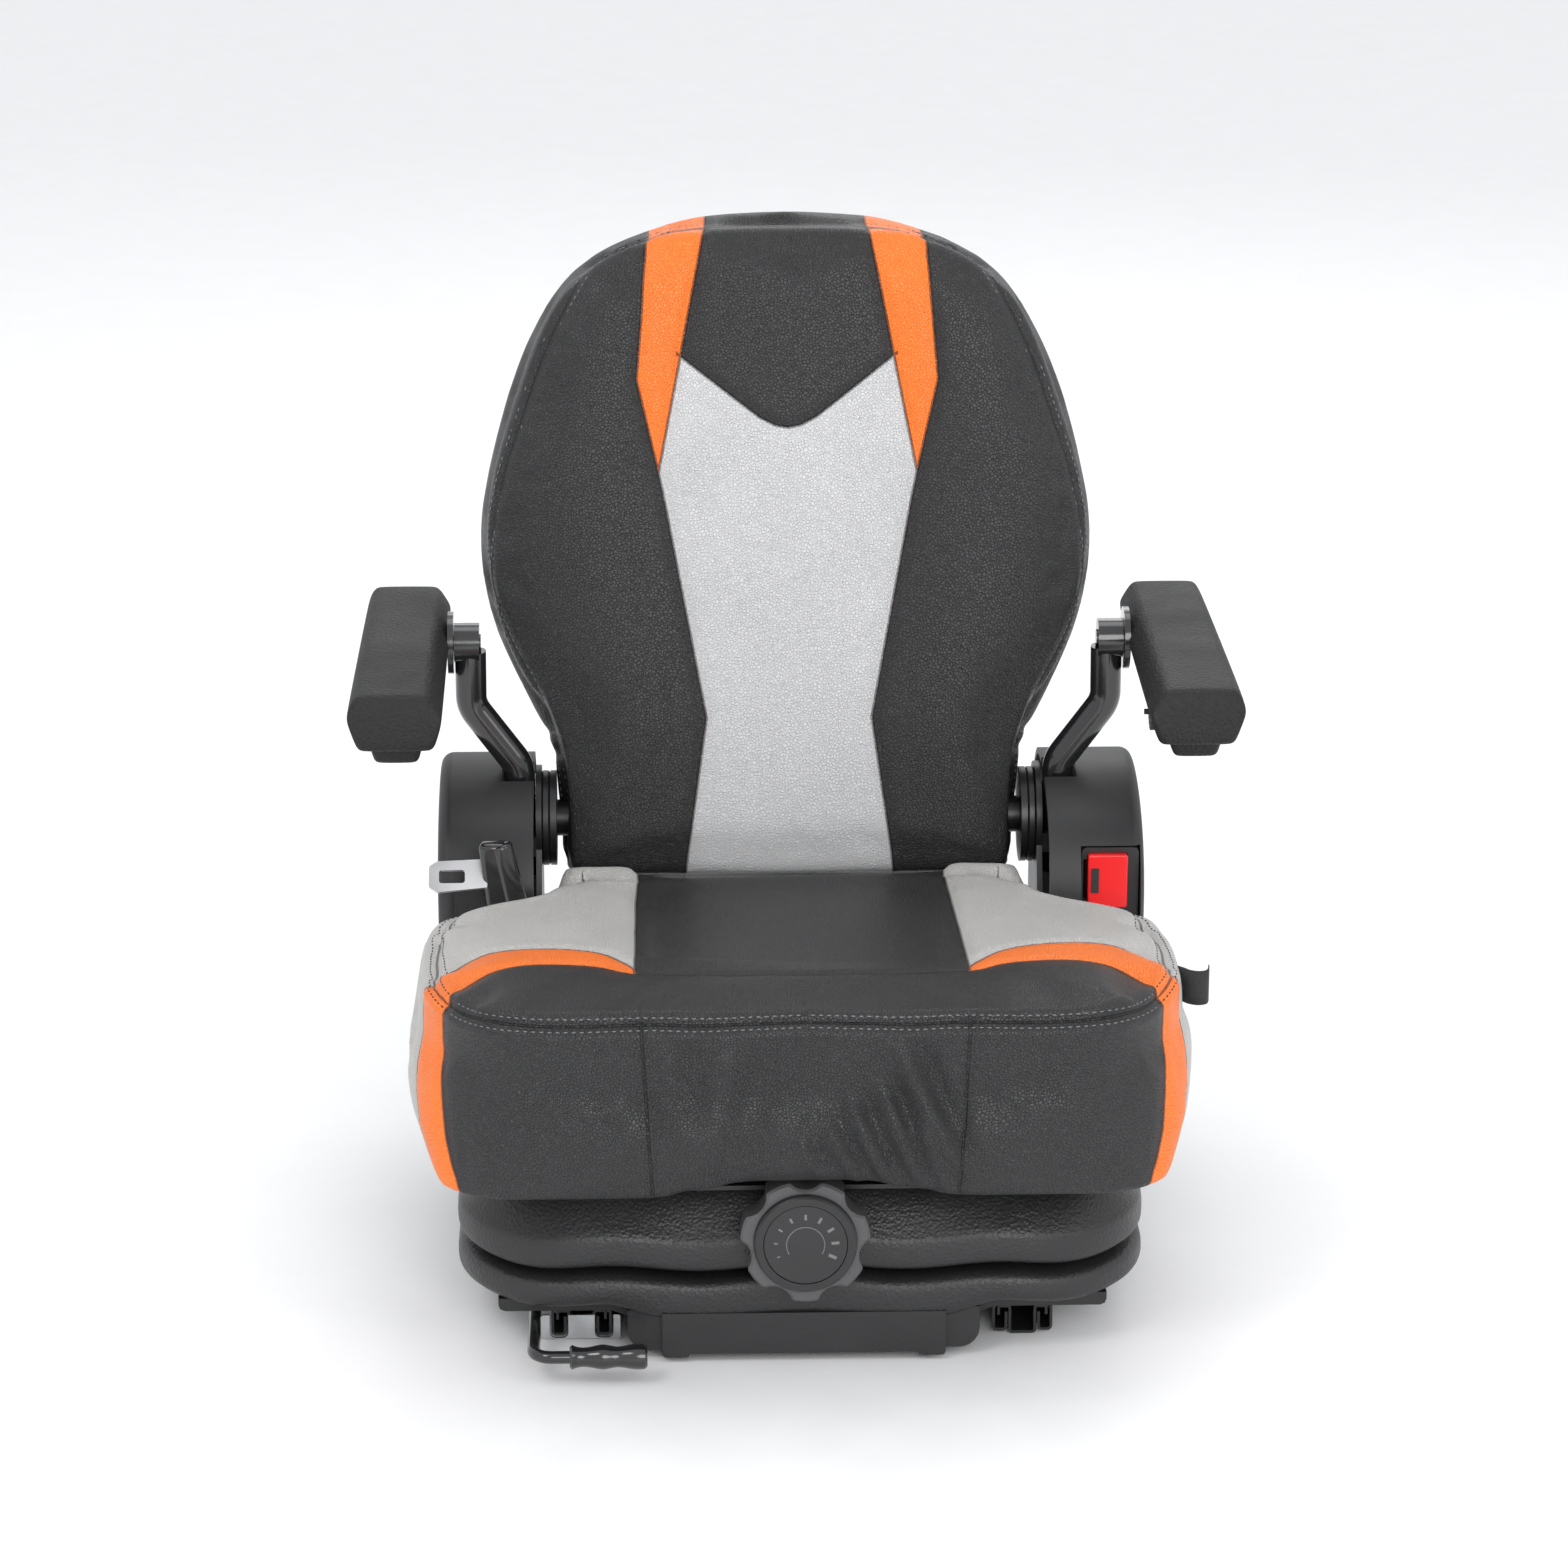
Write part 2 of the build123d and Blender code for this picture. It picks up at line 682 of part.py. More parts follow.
# Upper frame: the plate on top of the scissors, with roller tracks and brackets
frame_track_x = 141.3
frame_track_inner = 129.0
frame_web_half = 35.0
frame_web_y = -166.0
frame_web_drop = 34.0
with BuildPart() as upper_frame:
    with BuildSketch(Plane.XY.offset(frame_height)):
        RectangleRounded(2 * frame_half_width, 2 * frame_half_depth, 40)
        with GridLocations(190, 150, 2, 2):
            RectangleRounded(70, 50, 14, mode=Mode.SUBTRACT)
    extrude(amount=frame_sheet)
    for side in (-1, 1):
        with BuildSketch(across(track_rear)):
            with BuildLine():
                Polyline(
                    (side * frame_track_x, frame_height + 1),
                    (side * frame_track_x, pin_high - roller_radius - roller_gap - half_pan),
                    (side * frame_track_inner, pin_high - roller_radius - roller_gap - half_pan),
                )
            trace(line_width=track_sheet)
            with Locations((side * (frame_track_x + frame_track_inner) / 2, frame_height - 2)):
                Rectangle(frame_track_x - frame_track_inner, 5)
        extrude(amount=track_rear - track_front)
        with BuildSketch(beside(side * frame_bracket_x - frame_bracket_sheet / 2)):
            with BuildLine():
                Polyline(
                    (arm_reach - 16, frame_height + 1),
                    (arm_reach - 10, pin_high),
                    (arm_reach + 10, pin_high),
                    (arm_reach + 16, frame_height + 1),
                    close=True,
                )
            make_face()
            with Locations((arm_reach, pin_high)):
                Circle(10)
                Circle(pin_radius + run_gap, mode=Mode.SUBTRACT)
        extrude(amount=frame_bracket_sheet)
        with BuildSketch(beside(damper_x + side * (damper_eye_radius - 1.5) - 1.5)):
            with Locations((damper_front, (frame_height + 1 + damper_high) / 2)):
                Rectangle(2 * damper_eye_radius, frame_height + 1 - damper_high)
            with Locations((damper_front, damper_high)):
                Circle(damper_eye_radius)
                Circle(damper_pin_radius + run_gap, mode=Mode.SUBTRACT)
        extrude(amount=3)
    with BuildSketch(across(frame_web_y + 3)):
        with Locations((0, frame_height + 1 - frame_web_drop / 2)):
            Rectangle(2 * frame_web_half, frame_web_drop)
        fillet(vertices().group_by(Axis.Y)[0], 10)
        with Locations((0, spindle_z)):
            Circle(spindle_radius + run_gap, mode=Mode.SUBTRACT)
    extrude(amount=3)
save(upper_frame, "upper_frame")

# Bellows: one wall with two folds, carried round the frame
bellows_top = frame_height - bellows_wall / 2
bellows_base_x = frame_half_width - bellows_wall / 2
bellows_crest = bellows_base_x + bellows_out - bellows_wall / 2
bellows_round = 3.2
bellows_tuck = 8.5
bellows_base_y = frame_half_depth - bellows_wall / 2
bellows_foot = pan_rim + bellows_wall / 2
bellows_hole = 15.0
with BuildPart() as bellows:
    with BuildLine() as bellows_path:
        run_x = bellows_base_x - bellows_corner
        run_y = bellows_base_y - bellows_corner
        stretch = Line((bellows_base_x, 0), (bellows_base_x, run_y))
        for stretch_end in ((-run_x, bellows_base_y), (-bellows_base_x, -run_y), (run_x, -bellows_base_y)):
            bend = JernArc(stretch @ 1, stretch % 1, bellows_corner, 90)
            stretch = Line(bend @ 1, stretch_end)
        bend = JernArc(stretch @ 1, stretch % 1, bellows_corner, 90)
        Line(bend @ 1, (bellows_base_x, 0))
    with BuildSketch(Plane(origin=(0, 0, 0), x_dir=(1, 0, 0), z_dir=(0, -1, 0))):
        with BuildLine():
            Polyline(
                (bellows_base_x - 14, bellows_top), (bellows_base_x, bellows_top),
                (bellows_crest - bellows_round, 87), (bellows_crest, 82), (bellows_crest, 71),
                (bellows_crest - bellows_round, 67), (bellows_base_x, 60.5),
                (bellows_crest - bellows_round, 56), (bellows_crest, 52), (bellows_crest, 43),
                (bellows_crest - 2 * bellows_round, bellows_foot),
                (bellows_base_x - bellows_tuck, bellows_foot),
            )
        trace(line_width=bellows_wall)
    sweep(path=bellows_path.wires()[0])
    with BuildSketch(across(-frame_half_depth)):
        with Locations((0, spindle_z)):
            Circle(bellows_hole)
    extrude(amount=60, mode=Mode.SUBTRACT)
save(bellows, "bellows")

# Seat pan with raised beads under the cushion
pan_under = frame_height + frame_sheet
pan_upper = pan_under + seat_pan_sheet
cushion_bottom = pan_upper + bead_height + seat_gap
with BuildPart() as seat_pan:
    with BuildSketch(Plane.XY.offset(pan_under)):
        with BuildLine():
            FilletPolyline(
                (-pan_half_width, pan_front), (pan_half_width, pan_front), (pan_half_width, pan_rear),
                (-pan_half_width, pan_rear), close=True, radius=24,
            )
        make_face()
        for bolt_y in foot_bolt_ys:
            with Locations((-foot_bolt_x, bolt_y), (foot_bolt_x, bolt_y)):
                Circle(foot_bolt + run_gap, mode=Mode.SUBTRACT)
    extrude(amount=seat_pan_sheet)
    for bead_x in (-150, -50, 50, 150):
        with BuildSketch(Plane.XY.offset(pan_upper - 1)):
            with Locations((bead_x, -50)):
                SlotOverall(250, 22, rotation=90)
        extrude(amount=bead_height + 1)
save(seat_pan, "seat_pan")

# Cushion: plan, front view and side view are cut into one solid
with BuildPart() as seat_cushion:
    with BuildSketch(Plane.XY.offset(cushion_bottom)):
        with BuildLine():
            Line((0, -cushion_front), (cushion_tuck_half, -cushion_front))
            Spline(
                (cushion_tuck_half, -cushion_front), (214, -232), (253, -172), (cushion_half_width, -90),
                (251, -12), (205, 34), (172, 72), (163, 108),
                tangents=((1, 0), (0, 1)),
            )
            Line((163, 108), (163, 140))
            Line((163, 140), (0, 140))
            mirror(about=Plane.YZ)
        make_face()
    extrude(amount=160)
    with BuildSketch(across(200)):
        with BuildLine():
            Line((0, cushion_bottom - 10), (216, cushion_bottom - 10))
            Spline(
                (216, cushion_bottom - 10), (230, cushion_bottom + 12), (246, 176), (257, 207),
                (cushion_half_width, 236), (252, 258), (232, 270),
                tangents=((1, 0.3), (-1, 0.2)),
            )
            Line((232, 270), (0, 275))
            mirror(about=Plane.YZ)
        make_face()
    extrude(amount=500, mode=Mode.INTERSECT)
    with BuildSketch(beside(-300)):
        with BuildLine():
            FilletPolyline(
                (-cushion_front + 6, cushion_bottom - 20), (-cushion_front - 1, 215),
                (-cushion_front + 3, cushion_top_front), (150, cushion_top_rear - 3),
                (150, cushion_bottom - 20), close=True, radius=16,
            )
        make_face()
        with Locations((pivot_y, pivot_z)):
            Circle(back_sweep, mode=Mode.SUBTRACT)
        with Locations((150, 150)):
            Rectangle(80, 200, mode=Mode.SUBTRACT)
    extrude(amount=600, mode=Mode.INTERSECT)
    with BuildSketch(Plane.XY.offset(cushion_bottom - 30)):
        with Locations((0, -cushion_front)):
            RectangleRounded(2 * cushion_tuck_half, 2 * (cushion_front + pan_front - 3), 14)
    extrude(amount=cushion_tuck - cushion_bottom + 30, mode=Mode.SUBTRACT)
    with BuildSketch(Plane(origin=(0, centre_front, 0), x_dir=(0, 1, 0), z_dir=(1, 0, 0))):
        with BuildLine():
            slope = (cushion_top_rear - 3 - cushion_top_front) / (150 + cushion_front - 3)
            deep = cushion_top_front - centre_sink + slope * (centre_front + cushion_front)
            Polyline(
                (0, deep + 2), (18, deep - 1), (300, deep + 300 * slope),
                (300, deep + 80), (0, deep + 80), close=True,
            )
        make_face()
    extrude(amount=centre_half, both=True, mode=Mode.SUBTRACT)
save(seat_cushion, "seat_cushion")

# Tag sewn into the right side seam
tag_x = cushion_half_width + 0.5
with BuildPart() as cushion_tag:
    with BuildSketch(Plane.XY.offset(222)):
        with BuildLine():
            FilletPolyline(
                (tag_x, -118), (tag_x + 1.5, -128), (tag_x + 11.5, -130), (tag_x + 17.5, -124), radius=4
            )
        trace(line_width=1.2)
    extrude(amount=22)
save(cushion_tag, "cushion_tag")

# Side brackets, bolted to the seat pan
stud_radius = 4.0
stud_ring = 24.0
for side in (-1, 1):
    with BuildPart() as side_bracket:
        with BuildSketch(beside(side * (bracket_x + bracket_sheet / 2) - bracket_sheet / 2)):
            with BuildLine():
                Polyline(
                    (bracket_front, pan_upper), (bracket_front, pan_upper + 26),
                    (pivot_y - bracket_radius + 2, pivot_z - 12),
                    (pivot_y + bracket_radius - 2, pivot_z - 12),
                    (bracket_rear, pan_upper + 30), (bracket_rear, pan_upper), close=True,
                )
            make_face()
            with Locations((pivot_y, pivot_z)):
                Circle(bracket_radius)
            if side > 0:
                with Locations((lever_pivot_y, lever_pivot_z)):
                    Circle(lever_shaft + run_gap, mode=Mode.SUBTRACT)
            with Locations((pivot_y, pivot_z)):
                with PolarLocations(stud_ring, 3, -75, 150, endpoint=True):
                    Circle(stud_radius + run_gap, mode=Mode.SUBTRACT)
        extrude(amount=bracket_sheet)
        with BuildSketch(Plane.XY.offset(pan_upper)):
            with Locations((side * (bracket_x + foot_reach / 2), (bracket_front + bracket_rear) / 2)):
                Rectangle(foot_reach, bracket_rear - bracket_front)
            for bolt_y in foot_bolt_ys:
                with Locations((side * foot_bolt_x, bolt_y)):
                    Circle(foot_bolt + run_gap, mode=Mode.SUBTRACT)
        extrude(amount=foot_sheet)
    save(side_bracket, "side_bracket_" + side_name(side))

    with BuildPart() as recliner:
        with BuildSketch(beside(min(side * disc_split, side * bracket_x), pivot_y, pivot_z)):
            Circle(disc_radius)
        extrude(amount=bracket_x - disc_split)
        chamfer(edges().filter_by(GeomType.CIRCLE), 1.2)
        with BuildSketch(beside(side * (bracket_x + 4) - 5, pivot_y, pivot_z)):
            with PolarLocations(stud_ring, 3, -75, 150, endpoint=True):
                Circle(stud_radius)
        extrude(amount=10)
    save(recliner, "recliner_" + side_name(side))

# Backrest: moving recliner halves, cross tube, frame, foam and shell
side_plate_x = 144.0
side_plate_sheet = 4.0
hub_radius = 13.0
back_tube_radius = 9.0
back_pin_radius = 7.0
with BuildPart() as recliner_moving:
    for side in (-1, 1):
        width = disc_split - seat_gap - disc_inner
        with BuildSketch(beside(side * (disc_inner + width / 2) - width / 2, pivot_y, pivot_z)):
            Circle(disc_radius)
        extrude(amount=width)
        hub = disc_inner - side_plate_x - side_plate_sheet + 1
        with BuildSketch(beside(side * (disc_inner + 1 - hub / 2) - hub / 2, pivot_y, pivot_z)):
            Circle(hub_radius)
        extrude(amount=hub)
save(recliner_moving, "recliner_moving")

# The back stands on its own sloped plane: X across, Y up the slope, Z to the front
# Each point of the side is followed by its outward direction
back_side = [
    (165, 70, 1, 0), (193, 138, 0.9, -0.44), (220.5, 228, 1, 0), (197, 345, 0.95, 0.31),
    (150, 432, 0.76, 0.65), (97, 459.5, 0.25, 0.97), (56, back_height, 0, 1),
]
back_foot_corner = 18.0


def draw_back(inset):
    """Outline of the back, drawn in all round by the inset."""
    corner = back_foot_corner - inset / 2
    half_foot = back_side[0][0] - inset
    foot = Line((0, inset - 2), (half_foot - corner, inset - 2))
    bend = JernArc(foot @ 1, foot % 1, corner, 90)
    points = [(x - inset * across_x, s - inset * along_s) for x, s, across_x, along_s in back_side]
    Line(bend @ 1, points[0])
    Spline(*points, tangents=((0, 1), (-1, 0)))
    Line(points[-1], (0, back_height - inset))
    mirror(about=Plane.YZ)


with BuildPart() as backrest_cushion:
    for depth, inset in ((0, 13), (3.5, 5), (13, 0)):
        with BuildSketch(back_plane.offset(-depth)):
            with BuildLine():
                draw_back(inset)
            make_face()
    loft(ruled=True)
    with BuildSketch(back_plane.offset(-13)):
        with BuildLine():
            draw_back(0)
        make_face()
    extrude(amount=13 - back_foam)
    with BuildSketch(back_plane.offset(-back_front_wall)):
        with BuildLine():
            draw_back(back_rim)
        make_face()
    extrude(amount=-back_foam, mode=Mode.SUBTRACT)
    with BuildSketch(beside(-bracket_x, pivot_y, pivot_z)):
        Circle(hub_radius + seat_gap)
    extrude(amount=2 * bracket_x, mode=Mode.SUBTRACT)
save(backrest_cushion, "backrest_cushion")

with BuildPart() as backrest_shell:
    for depth, inset in ((back_foam, 3), (back_foam + shell_depth - 8, 3), (back_foam + shell_depth, 11)):
        with BuildSketch(back_plane.offset(-depth)):
            with BuildLine():
                draw_back(inset)
            make_face()
    loft(ruled=True)
    with BuildSketch(back_plane.offset(-back_foam)):
        with BuildLine():
            draw_back(3 + shell_wall)
        make_face()
    extrude(amount=8 - shell_depth, mode=Mode.SUBTRACT)
    with BuildSketch(back_plane.offset(-back_foam)):
        with BuildLine():
            draw_back(12)
        make_face()
    extrude(amount=shell_wall - shell_depth, mode=Mode.SUBTRACT)
save(backrest_shell, "backrest_shell")

frame_depth = 56.0
with BuildPart() as backrest_frame:
    with BuildLine(back_plane.offset(-frame_depth)) as frame_path:
        FilletPolyline(
            (-138, 40), (-138, 96), (-178, 225), (-105, 424),
            (105, 424), (178, 225), (138, 96), (138, 40),
            radius=32,
        )
    with BuildSketch(Plane(origin=frame_path.line @ 0, z_dir=frame_path.line % 0)):
        Circle(back_tube_radius)
    sweep()
    for side in (-1, 1):
        plate_left = side * (side_plate_x + side_plate_sheet / 2) - side_plate_sheet / 2
        with BuildSketch(beside(plate_left, pivot_y, pivot_z)):
            Circle(hub_radius)
            with Locations((14, 32)):
                Rectangle(28, 64, rotation=-recline)
        extrude(amount=side_plate_sheet)
    with BuildSketch(beside(-side_plate_x - 1, pivot_y, pivot_z)):
        Circle(back_pin_radius)
    extrude(amount=2 * side_plate_x + 2)
    for height, half in ((140, 150), (205, 171), (270, 160), (335, 136)):
        rod = back_plane.from_local_coords(Vector(0, height, -frame_depth))
        with BuildSketch(beside(-half, rod.Y, rod.Z)):
            Circle(2.5)
        extrude(amount=2 * half)
save(backrest_frame, "backrest_frame")

# Consoles: moulded covers, open to the bracket and below
console_rear = 245.0
console_front = 69.0
console_top = 300.0
notch_width = 23.0
notch_depth = 30.0
buckle_left = 203.0
buckle_right = 245.0
buckle_mid = (buckle_left + buckle_right) / 2
buckle_low = 196.0
buckle_high = 262.0
buckle_front = 80.0
buckle_rear = 116.0
strap_half = 19.0
strap_x = -217.0
strap_slot_z = 203.0


def console_outline(inset):
    """Side view of a console, drawn in Y and Z and drawn in by the inset."""
    rear = console_rear - inset
    front = console_front + inset
    foot = console_bottom - 5 * min(inset, 1)
    back = Line((rear, foot), (rear, 236))
    crown = TangentArc((rear, 236), (188, console_top - inset), tangent=(0, 1))
    brow = TangentArc(crown @ 1, (104 + 0.8 * inset, 283 - 0.8 * inset), tangent=crown % 1)
    nose = TangentArc(brow @ 1, (front, 206), tangent=brow % 1)
    Line(nose @ 1, (front, foot))
    Line((front, foot), back @ 0)


for side in (-1, 1):
    start = side * (console_inner + console_outer) / 2 - (console_outer - console_inner) / 2
    with BuildPart() as console:
        with BuildSketch(beside(start)):
            with BuildLine():
                console_outline(0)
            make_face()
        extrude(amount=console_outer - console_inner)
        outer_face = faces().sort_by(Axis.X)[0 if side < 0 else -1]
        fillet(outer_face.edges().filter_by(lambda e: e.center().Z > console_bottom + 1), 9)
        with BuildSketch(beside(start + (0 if side > 0 else console_wall + 1.5))):
            with BuildLine():
                console_outline(console_wall + 1.5)
            make_face()
        extrude(amount=console_outer - console_inner - console_wall - 1.5, mode=Mode.SUBTRACT)
        with Locations((side * (console_inner + notch_width / 2), tube_y, console_bottom + 180)):
            Box(notch_width, notch_depth, 160, mode=Mode.SUBTRACT)
        if side > 0:
            with Locations((buckle_mid, buckle_rear - 28, (buckle_low + buckle_high) / 2)):
                Box(buckle_right - buckle_left, 62, buckle_high - buckle_low, mode=Mode.SUBTRACT)
            with BuildSketch(beside(console_inner, lever_pivot_y, lever_pivot_z)):
                Circle(lever_shaft + 1)
            extrude(amount=console_outer, mode=Mode.SUBTRACT)
        else:
            with Locations((strap_x, 70, strap_slot_z)):
                Box(2 * strap_half + 4, 30, 7, mode=Mode.SUBTRACT)
    save(console, "console_" + side_name(side))

# Buckle in the right console
buckle_gap = 1.0
buckle_width = buckle_right - buckle_left - 2 * buckle_gap
button_left = 208.0
button_right = 236.0
button_low = 218.0
button_high = 257.0
button_proud = 5.5
button_depth = 14.0
with BuildPart() as buckle_body:
    with BuildSketch(across(buckle_rear)):
        with Locations((buckle_mid, (buckle_low + buckle_high) / 2)):
            RectangleRounded(buckle_width, buckle_high - buckle_low - 2 * buckle_gap, 4)
    extrude(amount=buckle_rear - buckle_front)
    with BuildSketch(across(buckle_front)):
        with Locations(((button_left + button_right) / 2, (button_low + button_high) / 2)):
            RectangleRounded(button_right - button_left + 0.8, button_high - button_low + 0.8, 2.4)
    extrude(amount=-button_depth - 6, mode=Mode.SUBTRACT)
    with BuildSketch(across(buckle_front)):
        with Locations((buckle_left + 3.4, (button_low + button_high) / 2)):
            Rectangle(3, 30)
    extrude(amount=-26, mode=Mode.SUBTRACT)
save(buckle_body, "buckle_body")

with BuildPart() as buckle_button:
    with BuildSketch(across(buckle_front + button_depth)):
        with Locations(((button_left + button_right) / 2, (button_low + button_high) / 2)):
            RectangleRounded(button_right - button_left, button_high - button_low, 2)
    extrude(amount=button_depth + button_proud)
    fillet(faces().sort_by(Axis.Y)[0].edges(), 1.2)
save(buckle_button, "buckle_button")

with BuildPart() as buckle_stalk:
    with BuildSketch(across(102)):
        with BuildLine():
            FilletPolyline(
                (bracket_x + bracket_sheet, 160), (bracket_x + bracket_sheet, 196.9),
                (234, 196.9), (214, 176), (200, 160), close=True, radius=1,
            )
        make_face()
    extrude(amount=4)
save(buckle_stalk, "buckle_stalk")

# Belt: retractor, spool with its roll and strap, tongue and sleeve
spool_y = 125.0
roll_radius = 23.0
spool_z = strap_slot_z - roll_radius
spool_shaft = 5.0
strap_sheet = 2.4
strap_y = 58.0
strap_top = 247.0
with BuildPart() as belt_webbing:
    with BuildSketch(beside(strap_x - strap_half, spool_y, spool_z)):
        Circle(roll_radius + strap_sheet / 2)
        Circle(spool_shaft + run_gap, mode=Mode.SUBTRACT)
    extrude(amount=2 * strap_half)
    with BuildSketch(beside(strap_x - strap_half)):
        with BuildLine():
            FilletPolyline((spool_y, strap_slot_z), (strap_y, strap_slot_z), (strap_y, strap_top), radius=6)
        trace(line_width=strap_sheet)
    extrude(amount=2 * strap_half)
save(belt_webbing, "belt_webbing")

retractor_out = strap_half + 3
with BuildPart() as belt_retractor:
    for side in (-1, 1):
        with BuildSketch(beside(strap_x + side * retractor_out - 1.25, spool_y, spool_z)):
            with Locations((8, 0)):
                RectangleRounded(56, 52, 8)
            Circle(spool_shaft + run_gap, mode=Mode.SUBTRACT)
        extrude(amount=2.5)
    with Locations((strap_x, spool_y + 34.5, spool_z)):
        Box(2 * retractor_out, 3, 40)
    with BuildSketch(beside(strap_x + retractor_out, spool_y + 24, spool_z - 14)):
        Circle(7)
    extrude(amount=-bracket_x - bracket_sheet - strap_x - retractor_out)
save(belt_retractor, "belt_retractor")

with BuildPart() as belt_spool:
    with BuildSketch(beside(strap_x - retractor_out - 2, spool_y, spool_z)):
        Circle(spool_shaft)
    extrude(amount=2 * retractor_out + 4)
save(belt_spool, "belt_spool")

with BuildPart() as tongue_sleeve:
    with BuildSketch(Plane.XY.offset(strap_top)):
        with Locations((strap_x + 15, strap_y)):
            RectangleRounded(38, 13, 5)
    extrude(amount=30)
    fillet(faces().sort_by(Axis.Z)[-1].edges(), 3)
save(tongue_sleeve, "tongue_sleeve")

with BuildPart() as belt_tongue:
    with BuildSketch(Plane.XY.offset(strap_top + 3)):
        with BuildLine():
            FilletPolyline(
                (strap_x - 4, strap_y - 12), (strap_x - 4, strap_y + 4), (strap_x - 30, strap_y + 6),
                (strap_x - 36, strap_y + 2), (strap_x - 36, strap_y - 14), (strap_x - 30, strap_y - 18),
                close=True, radius=3,
            )
        make_face()
        with Locations((strap_x - 20, strap_y - 6)):
            RectangleRounded(18, 10, 2, mode=Mode.SUBTRACT)
    extrude(amount=2.4)
save(belt_tongue, "belt_tongue")

# Arm tubes with their eyes, clamps, hubs, pads and angle wheels
clamp_low = 240.0
clamp_high = 254.0
hub_disc_radius = 22.0
hub_sheet = 4.0
eye_start = 218.0
eye_end = pad_inner - seat_gap
pad_mid = pad_inner + pad_width / 2
wheel_x = pad_inner + 16
wheel_y = 60.0
wheel_z = 367.0
wheel_radius = 13.0
wheel_width = 9.0
wheel_axle = 2.0
for side in (-1, 1):
    with BuildPart() as arm_tube:
        with BuildLine() as tube_path:
            FilletPolyline(
                (side * tube_foot_x, tube_y, tube_foot_z), (side * tube_foot_x, tube_y, 303),
                (side * tube_top_x, tube_y, 348), (side * tube_top_x, tube_y, eye_z - 6),
                radius=22,
            )
        with BuildSketch(Plane.XY.offset(tube_foot_z)):
            with Locations((side * tube_foot_x, tube_y)):
                Circle(tube_radius)
        sweep()
        with BuildSketch(beside(min(side * eye_start, side * eye_end), tube_y, eye_z)):
            Circle(eye_radius)
        extrude(amount=eye_end - eye_start)
        with BuildSketch(beside(-300, tube_y, eye_z)):
            Circle(hub_pin_radius + run_gap)
        extrude(amount=600, mode=Mode.SUBTRACT)
    save(arm_tube, "arm_tube_" + side_name(side))

    with BuildPart() as armrest_hub:
        with BuildSketch(beside(side * (pad_inner + hub_sheet / 2) - hub_sheet / 2, tube_y, eye_z)):
            Circle(hub_disc_radius)
        extrude(amount=hub_sheet)
        with BuildSketch(beside(min(side * (eye_start - 1), side * pad_inner), tube_y, eye_z)):
            Circle(hub_pin_radius)
        extrude(amount=pad_inner - eye_start + 1)
    save(armrest_hub, "armrest_hub_" + side_name(side))

    with BuildPart() as armrest_pad:
        with BuildSketch(across(pad_rear)):
            with Locations((side * pad_mid, (pad_top + pad_bottom) / 2)):
                RectangleRounded(pad_width, pad_top - pad_bottom, 13)
        extrude(amount=pad_rear - pad_front)
        fillet(faces().sort_by(Axis.Y)[0].edges() + faces().sort_by(Axis.Y)[-1].edges(), 9)
        with BuildSketch(Plane.XY.offset(pad_bottom + 2)):
            with Locations((side * pad_mid, (pad_front + pad_rear) / 2)):
                RectangleRounded(pad_width - 23, pad_rear - pad_front - 24, 12)
        extrude(amount=-pad_base_drop - 2)
        with BuildSketch(beside(side * (pad_inner + 2) - 2 - seat_gap, tube_y, eye_z)):
            Circle(hub_disc_radius + run_gap)
        extrude(amount=4 + 2 * seat_gap, mode=Mode.SUBTRACT)
        with Locations((side * wheel_x, wheel_y, wheel_z - 6)):
            Box(wheel_width + 1, 2 * wheel_radius + 4, 2 * wheel_radius + 14, mode=Mode.SUBTRACT)
        with BuildSketch(beside(side * wheel_x - 9, wheel_y, wheel_z)):
            Circle(wheel_axle + run_gap)
        extrude(amount=18, mode=Mode.SUBTRACT)
    save(armrest_pad, "armrest_pad_" + side_name(side))

    with BuildPart() as adjuster:
        with BuildSketch(beside(side * wheel_x - wheel_width / 2, wheel_y, wheel_z)):
            Circle(wheel_radius)
            with PolarLocations(wheel_radius + 0.4, 16):
                Circle(1.4, mode=Mode.SUBTRACT)
        extrude(amount=wheel_width)
        with BuildSketch(beside(side * wheel_x - 8.5, wheel_y, wheel_z)):
            Circle(wheel_axle)
        extrude(amount=17)
    save(adjuster, "armrest_adjuster_" + side_name(side))

with BuildPart() as tube_clamps:
    for side in (-1, 1):
        with BuildSketch(Plane.XY.offset(clamp_low)):
            with Locations((side * (bracket_x + bracket_sheet + 13), tube_y)):
                Rectangle(26, 34)
            with Locations((side * tube_foot_x, tube_y)):
                Circle(tube_radius + run_gap, mode=Mode.SUBTRACT)
        extrude(amount=clamp_high - clamp_low)
save(tube_clamps, "tube_clamps")

# Recline lever on the right
recline_bar_x = 250.0
with BuildPart() as recline_lever:
    with BuildSketch(beside(recline_bar_x)):
        with Locations(Location(((lever_pivot_y + 60) / 2, lever_pivot_z - 8), 0)):
            SlotCenterToCenter(lever_pivot_y - 60, 17, rotation=8)
    extrude(amount=4)
    with BuildSketch(beside(bracket_x, lever_pivot_y, lever_pivot_z)):
        Circle(lever_shaft)
    extrude(amount=recline_bar_x - bracket_x + 1)
save(recline_lever, "recline_lever")

with BuildPart() as recline_grip:
    with BuildSketch(beside(recline_bar_x + 4)):
        with Locations((58, lever_pivot_z - 15)):
            SlotOverall(76, 19, rotation=8)
    extrude(amount=8)
    fillet(faces().sort_by(Axis.X)[-1].edges(), 3)
save(recline_grip, "recline_grip")

